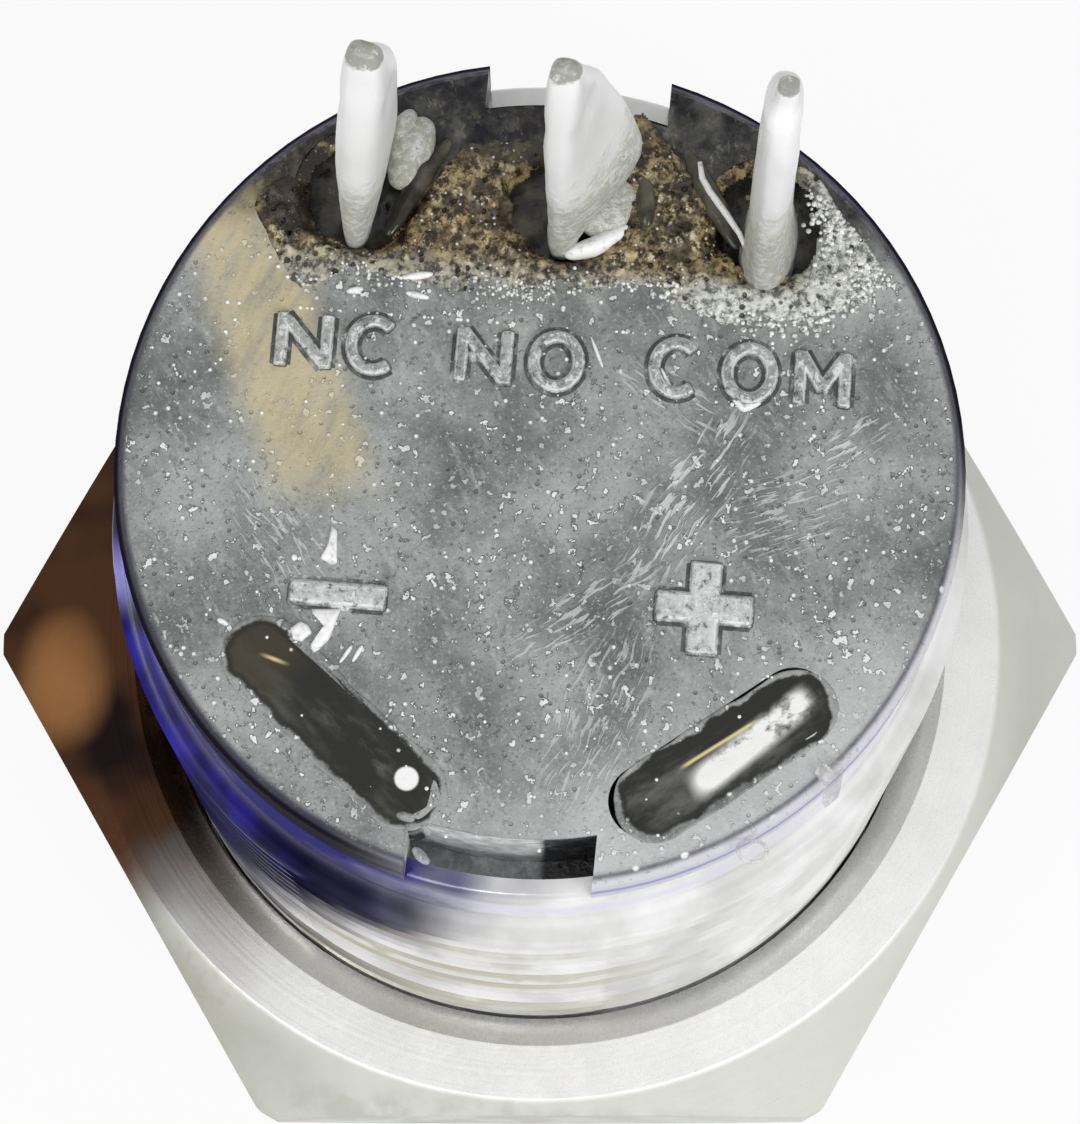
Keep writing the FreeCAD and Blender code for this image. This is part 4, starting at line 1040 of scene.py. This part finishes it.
def crust_height(x, y):
    """Height of the flux over the face: lumps and domes inside two wavy edges, sagging into the wells."""
    wander = lumps(x, y, 0.9, 21) * 0.35
    low, high = np.interp(x, *LOW_EDGE.T), np.interp(x, *HIGH_EDGE.T)
    inside = eased(y + wander, low - 0.05, low + 0.45)
    inside = inside * eased(wander - y, -high - 0.05, -high + 0.4)
    inside = inside * eased(-np.hypot(x, y), -8.5, -8.2) * eased(x, -6.6, -6.2) * eased(-x, -7.3, -6.9)
    band = np.abs((x + 3.05) * 0.87 - (y - 5.85) * 0.5)
    inside = inside * (1 - (1 - eased(band, 0.12, 0.34)) * eased(y, 4.4, 4.9))
    height = 0.045 + 0.05 * lumps(x, y, 0.8, 5) + 0.045 * lumps(x, y, 0.25, 6)
    spots = np.random.default_rng(14)
    for _ in range(CRUST_DOMES):
        centre = (spots.uniform(-6.3, 7.1), spots.uniform(3.1, 7.6))
        radius = spots.uniform(0.05, 0.15)
        near = radius ** 2 - (x - centre[0]) ** 2 - (y - centre[1]) ** 2
        height = np.maximum(height, np.sqrt(np.maximum(near, 0)) * 0.8 + 0.05 * (near > 0))
    hole = np.zeros_like(x)
    for number, centre in enumerate(WELLS.values()):
        away = np.hypot(x - centre[0], y - centre[1]) + 0.22 * lumps(x, y, 0.6, 70 + number)
        hole = np.maximum(hole, 1 - eased(away, WELL_R - 0.45, WELL_R + 0.05))
    return np.where(hole > 0.93, -1, height * inside - 0.03 * (1 - inside) - 0.30 * hole * (inside > 0.3))


def flux_crust():
    """Crust on a fine grid of the face, kept where it stands above it, with a skin for its underside."""
    x, y = np.meshgrid(np.arange(-6.6, 7.4, CRUST_STEP), np.arange(3.0, 8.0, CRUST_STEP), indexing="ij")
    height = crust_height(x, y)
    points = np.stack([x, y, FACE_Z + height], axis=-1).reshape(-1, 3)
    faces = grid_faces(*x.shape, 0)
    over_well = np.min([np.hypot(x - px, y - py) for px, py, _ in WELLS.values()], axis=0) < WELL_R + 0.05
    solid = (height > -0.02) | (over_well & (height > -0.5))
    kept = faces[solid.ravel()[faces].all(axis=1)]
    used, numbers = np.unique(kept, return_inverse=True)
    mesh = points_to_mesh("flux_crust", points[used], numbers.reshape(kept.shape), weld=False)
    crust = add_piece(mesh, "barrel", flux_finish(), crease=80)
    mesh.flip_normals()
    skin = crust.modifiers.new("underside", "SOLIDIFY")
    skin.thickness = 0.05 * MM
    skin.offset = -1


def bead(centre, radius, flat=0.8, rings=5, sides=8):
    """Small ball, a little flattened: circles of latitude from pole to pole."""
    latitude = np.linspace(-math.pi / 2, math.pi / 2, rings)[:, None]
    longitude = np.linspace(0, TAU, sides, endpoint=False)
    ball = np.stack([np.cos(latitude) * np.cos(longitude), np.cos(latitude) * np.sin(longitude),
                     np.broadcast_to(np.sin(latitude) * flat, (rings, sides))], axis=-1)
    return ball * radius + np.asarray(centre), False, True


def bead_line(points, count, spread, sizes, draws):
    """Beads scattered about a line of points on the face."""
    points = np.asarray(points, float)
    run = run_along(points)
    at = draws.uniform(0, run[-1], count)
    x = np.interp(at, run, points[:, 0]) + draws.normal(0, spread, count)
    y = np.interp(at, run, points[:, 1]) + draws.normal(0, spread, count)
    radius = draws.uniform(*sizes, count)
    return [bead((px, py, FACE_Z + r * 0.25), r)
            for px, py, r in zip(x, y, radius) if math.hypot(px, py) < FACE_R]


BEAD_EDGE = LOW_EDGE + (0, 0.12)
# Lines of beads: points, how many, how far they stray, least and greatest radius
BEAD_LINES = [
    (BEAD_EDGE[1:5], 70, 0.14, (0.02, 0.055)),
    (BEAD_EDGE[5:10], 130, 0.15, (0.02, 0.055)),
    (BEAD_EDGE[9:], 170, 0.15, (0.03, 0.075)),
    ([(5.6, 6.0), (6.3, 5.4), (6.6, 4.8), (6.3, 4.2)], 230, 0.22, (0.03, 0.08)),
    ([(5.3, 6.4), (5.8, 5.4), (5.8, 4.5)], 130, 0.18, (0.03, 0.07)),
    ([(-1.9, 3.9), (-0.8, 3.6), (-0.2, 3.9)], 50, 0.2, (0.02, 0.05)),
]


def white_beads():
    """Beads of residue: under the wells' lower edges, right of the COM terminal, and a few astray."""
    draws = np.random.default_rng(3)
    sheets = [sheet for line in BEAD_LINES for sheet in bead_line(*line, draws)]
    add_sheets("white_beads", sheets, foam_finish(), crease=80)


def blob(path, width, height, seed, z=None):
    """Smooth lump along a line on the face: an oval section that swells and fades from end to end."""
    path = np.asarray(path, float)
    run = run_along(path)
    share = (1 - np.cos(np.linspace(0, math.pi, 26))) / 2
    at = share * run[-1]
    line = np.stack([np.interp(at, run, path[:, 0]), np.interp(at, run, path[:, 1])], axis=1)
    ahead = unit(np.gradient(line, axis=0))
    side = np.stack([-ahead[:, 1], ahead[:, 0]], axis=1)
    swell = np.sqrt(np.maximum(4 * share * (1 - share), 0)) ** 0.8
    swell = swell * (1 + 0.25 * lumps(at, at * 0 + seed, 0.5, seed))
    angle = np.linspace(0, TAU, 16, endpoint=False)
    across = np.cos(angle) * width / 2
    up = np.sin(angle) * height
    flat = line[:, None] + side[:, None] * (across * swell[:, None])[..., None]
    rise = (FACE_Z if z is None else z) + up * swell[:, None]
    return np.concatenate([flat, rise[..., None]], axis=-1), False, True


def shard(outline, height, seed):
    """Flat chip: rings drawn in from an outline, thin at its edge, with a slightly uneven top."""
    outline = np.asarray(outline, float)
    corners = np.concatenate([outline, outline[:1]])
    run = run_along(corners)
    at = np.linspace(0, run[-1], 30, endpoint=False)
    edge = np.stack([np.interp(at, run, corners[:, k]) for k in (0, 1)], axis=1)
    middle = edge.mean(axis=0)
    rings = []
    for share, z in ((0, 1.0), (0.5, 1.0), (0.86, 0.85), (1.0, 0.35), (1.0, -0.3), (0, -0.3)):
        flat = middle + (edge - middle) * share
        uneven = 1 + 0.25 * lumps(flat[:, 0], flat[:, 1], 0.2, seed) * (share > 0)
        rings.append(np.column_stack([flat, FACE_Z + height * z * uneven]))
    return np.array(rings), False, True


def solder_bits():
    """Solder and chips: the tail at the NO terminal, frays by the minus sign and small spatter."""
    draws = np.random.default_rng(8)
    sheets = [
        blob([(0.15, 4.62), (0.8, 4.85), (1.55, 5.35)], 0.46, 0.30, 1, FACE_Z - 0.13),
        blob([(-4.35, 3.42), (-4.0, 3.52)], 0.16, 0.08, 2),
        blob([(-3.2, 3.82), (-2.55, 3.95)], 0.15, 0.08, 3),
        blob([(-3.1, 3.5), (-2.6, 3.42)], 0.15, 0.08, 4),
        blob([(-6.38, -3.78), (-6.15, -3.88)], 0.15, 0.10, 11),
        shard([(-4.38, -2.34), (-4.24, -2.02), (-4.20, -1.62), (-4.08, -1.72), (-4.02, -2.40),
               (-4.12, -2.46)], 0.10, 5),
        shard([(-4.86, -3.86), (-4.66, -3.70), (-4.48, -3.78), (-4.40, -3.92), (-4.60, -4.12),
               (-4.80, -4.08)], 0.12, 7),
        shard([(-4.46, -3.42), (-3.86, -3.38), (-3.92, -3.60), (-4.02, -4.00), (-4.30, -4.34),
               (-4.44, -4.22), (-4.20, -3.92), (-4.12, -3.62), (-4.42, -3.56)], 0.12, 8),
        blob([(-3.56, -4.12), (-3.78, -4.50)], 0.10, 0.07, 9),
        blob([(-3.34, -4.10), (-3.52, -4.46)], 0.09, 0.07, 10),
        blob([(-4.95, -2.30), (-4.88, -2.42)], 0.12, 0.07, 14),
        blob([(2.35, 2.3), (2.75, 1.6)], 0.10, 0.06, 12),
        blob([(0.85, 2.85), (1.15, 2.2)], 0.07, 0.05, 13),
        blob([(3.9, 1.75), (4.15, 1.55), (4.5, 1.7)], 0.16, 0.10, 15),
    ]
    for _ in range(SPATTER_BEADS):
        angle, radius = draws.uniform(0, TAU), SPATTER_R * math.sqrt(draws.uniform(0.02, 1))
        x, y = radius * math.cos(angle), min(radius * math.sin(angle), 3.0)
        size = draws.uniform(0.02, 0.05)
        sheets.append(bead((x, y, FACE_Z + size * 0.2), size))
    add_sheets("solder_spatter", sheets, chip_finish(), crease=80)


def frosted_flux():
    """Frosted lump behind the NC terminal, glossy ribbons of flux beside the wells and a curl of flash."""
    lump = [blob([(-3.45, 5.75), (-3.35, 6.5), (-2.95, 7.35)], 0.85, 0.42, 31, FACE_Z),
            blob([(-3.55, 6.6), (-3.3, 7.5)], 0.5, 0.5, 32, FACE_Z),
            blob([(0.55, 5.15), (1.0, 5.7), (1.45, 6.3)], 1.05, 0.30, 36, FACE_Z - 0.12)]
    add_sheets("frosted_lump", lump, solder_finish(), crease=80)
    gloss = resin_finish("flux_ribbon", (0.016, 0.015, 0.010), (0.15, 0.14, 0.10))
    ribbons = [blob([(-2.45, 6.95), (-2.8, 6.3), (-3.2, 5.6), (-3.6, 4.7)], 0.42, 0.16, 33),
               blob([(2.55, 7.1), (2.95, 6.4), (3.35, 5.75), (3.8, 5.0)], 0.50, 0.14, 34),
               blob([(1.35, 6.6), (1.75, 6.2), (1.85, 5.3)], 0.40, 0.16, 35)]
    add_sheets("flux_ribbons", ribbons, gloss, crease=80)
    curl = [(2.86, 6.80, 0.13), (2.93, 6.45, 0.17), (3.12, 6.15, 0.18), (3.5, 5.68, 0.18), (3.8, 5.3, 0.12),
            (4.0, 4.95, -0.02)]
    curl = np.array(curl) + (0, 0, FACE_Z)
    add_sheets("flux_curl", [tube(curl, [0.05, 0.07, 0.075, 0.075, 0.06, 0.04])], chip_finish(),
               crease=80)


def well_resin():
    """Resin in each well: a dished, rippled top that climbs the wall, on the solid's own round body."""
    finish = resin_finish("well_resin", (0.010, 0.008, 0.006), (0.10, 0.095, 0.06), 0.7)
    for number, name in enumerate(TERMINALS):
        low, high = limits("potting_" + name)
        share = np.concatenate([np.linspace(0, 0.97, 24), [1.0, 1.0, 0.0]])
        angle = np.linspace(0, TAU, 56, endpoint=False)
        radius = share[:, None] * (WELL_R - 0.02)
        x = WELLS[name][0] + radius * np.cos(angle)
        y = WELLS[name][1] + radius * np.sin(angle)
        z = high[2] - 0.02 + 0.30 * share[:, None] ** 6 + 0.09 * lumps(x, y, 0.6, 40 + number)
        z[-3] = z[-4]
        z[-2:] = low[2]
        sheet = np.stack([x, y, z], axis=-1), False, True
        add_sheets("well_resin_" + name, [sheet], finish, ["potting_" + name], crease=60)


def flash_flakes():
    """Torn flash on the rim: a curled flake, a small ring and bits at the keyway."""
    outline = np.array([
        (6.20, -5.45), (6.45, -5.05), (6.75, -4.88), (7.15, -4.95), (7.32, -5.25), (7.28, -5.8), (7.2, -6.3),
        (6.95, -6.6), (6.7, -6.8), (6.55, -6.45), (6.62, -6.0), (6.40, -5.75), (6.20, -5.45)])
    outline = (outline - (6.80, -5.70)) * 0.52 + (6.42, -6.18)
    run = run_along(outline)
    at = np.linspace(0, run[-1], 90, endpoint=False)
    edge = np.stack([smooth_curve(run, outline[:, k], at) for k in (0, 1)], axis=1)
    middle = edge.mean(axis=0)
    share = np.linspace(0, 1, 14)[:, None, None]
    flat = middle + (edge - middle) * share
    rise = FACE_Z + 0.10 + 0.16 * share[..., 0] ** 2 + 0.10 * lumps(flat[..., 0], flat[..., 1], 0.5, 51)
    sheet = np.concatenate([flat, rise[..., None]], axis=-1)
    under = sheet[::-1] - (0, 0, 0.035)
    turn = np.linspace(0, TAU, 40)
    ring = np.stack([4.95 + 0.30 * np.cos(turn), -7.72 + 0.22 * np.sin(turn),
                     FACE_Z - 0.05 + 0.10 * np.sin(turn * 2 + 1)], axis=1)
    sheets = [
        (np.concatenate([sheet, under]), False, True),
        tube(ring, 0.045),
        blob([(-2.35, -7.55), (-1.95, -7.62)], 0.20, 0.10, 61),
        blob([(-1.95, -8.2), (-1.6, -8.5)], 0.22, 0.10, 62, FACE_Z - 0.1),
        blob([(-1.85, -7.75), (-1.6, -7.9)], 0.16, 0.10, 63),
        blob([(-7.55, -4.0), (-7.75, -3.7)], 0.10, 0.07, 64, FACE_Z - 0.05),
    ]
    add_sheets("torn_flash", sheets, flake_finish(), crease=70)


def dress_cad_nodes():
    """Finishes for the CAD nodes that stay."""
    rubber, cream, wire = rubber_finish(), inner_plastic_finish(), spring_finish()
    silver = metal_finish("contact_silver", (0.62, 0.60, 0.56), (0.86, 0.85, 0.82), 0.25)
    finishes = {
        "base": base_finish(), "hex_nut": nut_finish(), "push_cap": cap_finish(), "lock_washer": wire,
        "panel_gasket": rubber, "cap_seal": rubber, "base_seal": rubber,
        "plunger": cream, "contact_carrier": cream, "guide_plate": cream,
        "nc_contact": silver, "no_contact": silver, "moving_contacts": silver,
        "snap_blade": metal_finish("blade_bronze", (0.42, 0.22, 0.10), (0.66, 0.42, 0.22), 0.28),
    }
    for node, finish in finishes.items():
        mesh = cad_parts[node].data
        mesh.materials.clear()
        mesh.materials.append(finish)


# Studio
def soft_lamp(name, place, aim, size, power):
    """Square area lamp at a place in millimetres, turned to its aim."""
    data = bpy.data.lights.new(name, "AREA")
    data.size = size * MM
    data.energy = power
    lamp = bpy.data.objects.new(name, data)
    place, aim = np.array(place, float) * MM, np.array(aim, float) * MM
    lamp.location = place
    away = place - aim
    lamp.rotation_mode = "QUATERNION"
    lamp.rotation_quaternion = Vector(away).to_track_quat("Z", "Y")
    bpy.context.scene.collection.objects.link(lamp)


FLOOR_HALF = 0.6
WORLD_LIGHT = 0.46


def studio():
    """Pale floor that keeps the object's shadow, a white surround for the camera, and soft lamps."""
    corners = [(x * FLOOR_HALF, y * FLOOR_HALF, 0) for x, y in ((-1, -1), (1, -1), (1, 1), (-1, 1))]
    floor_mesh = bpy.data.meshes.new("floor")
    floor_mesh.from_pydata(corners, [], [(0, 1, 2, 3)])
    floor = bpy.data.objects.new("floor", floor_mesh)
    bpy.context.scene.collection.objects.link(floor)
    f = Finish("pale_floor", Roughness=0.9, Specular_IOR_Level=0.1)
    camera_ray = f.node("ShaderNodeLightPath", out="Is Camera Ray")
    glossy_ray = f.node("ShaderNodeLightPath", out="Is Glossy Ray")
    f.set(Base_Color=f.mix(f.noise(6.0, 4), (0.83, 0.83, 0.83), (0.87, 0.87, 0.87)))
    glow = f.node("ShaderNodeEmission", {}, {"Color": (1, 1, 1, 1), "Strength": 1.0})
    f.over(camera_ray.most(glossy_ray) * 0.90, glow)
    floor_mesh.materials.append(f.material)
    world = bpy.data.worlds.new("studio")
    bpy.context.scene.world = world
    world.use_nodes = True
    tree = world.node_tree
    back = tree.nodes["Background"]
    back.inputs["Color"].default_value = (1, 1, 1, 1)
    back.inputs["Strength"].default_value = WORLD_LIGHT
    white = tree.nodes.new("ShaderNodeBackground")
    white.inputs["Strength"].default_value = 1.0
    path = tree.nodes.new("ShaderNodeLightPath")
    direct = path.outputs["Is Camera Ray"]
    for ray in ("Is Glossy Ray", "Is Transmission Ray"):
        either = tree.nodes.new("ShaderNodeMath")
        either.operation = "MAXIMUM"
        tree.links.new(direct, either.inputs[0])
        tree.links.new(path.outputs[ray], either.inputs[1])
        direct = either.outputs[0]
    blend = tree.nodes.new("ShaderNodeMixShader")
    tree.links.new(direct, blend.inputs[0])
    tree.links.new(back.outputs[0], blend.inputs[1])
    tree.links.new(white.outputs[0], blend.inputs[2])
    tree.links.new(blend.outputs[0], tree.nodes["World Output"].inputs["Surface"])
    soft_lamp("key", (110, -120, 150), (0, 0, 20), 80, 0.17)
    soft_lamp("overhead", (-70, -110, 210), (0, 0, 20), 120, 0.15)


photo_camera()
dress_cad_nodes()
threaded_housing()
spring("return_coil", "return_spring", 0.8, 1.58, "barrel", whole_turns=False)
spring("contact_coil", "contact_spring", 0.2, 0.75, "button")
spring("blade_coil", "blade_spring", 0.2, 0.75, "barrel")
terminals()
rear_marks()
epoxy_fills()
well_resin()
flux_crust()
white_beads()
solder_bits()
frosted_flux()
flash_flakes()
studio()

bpy.context.scene.view_settings.view_transform = "Standard"
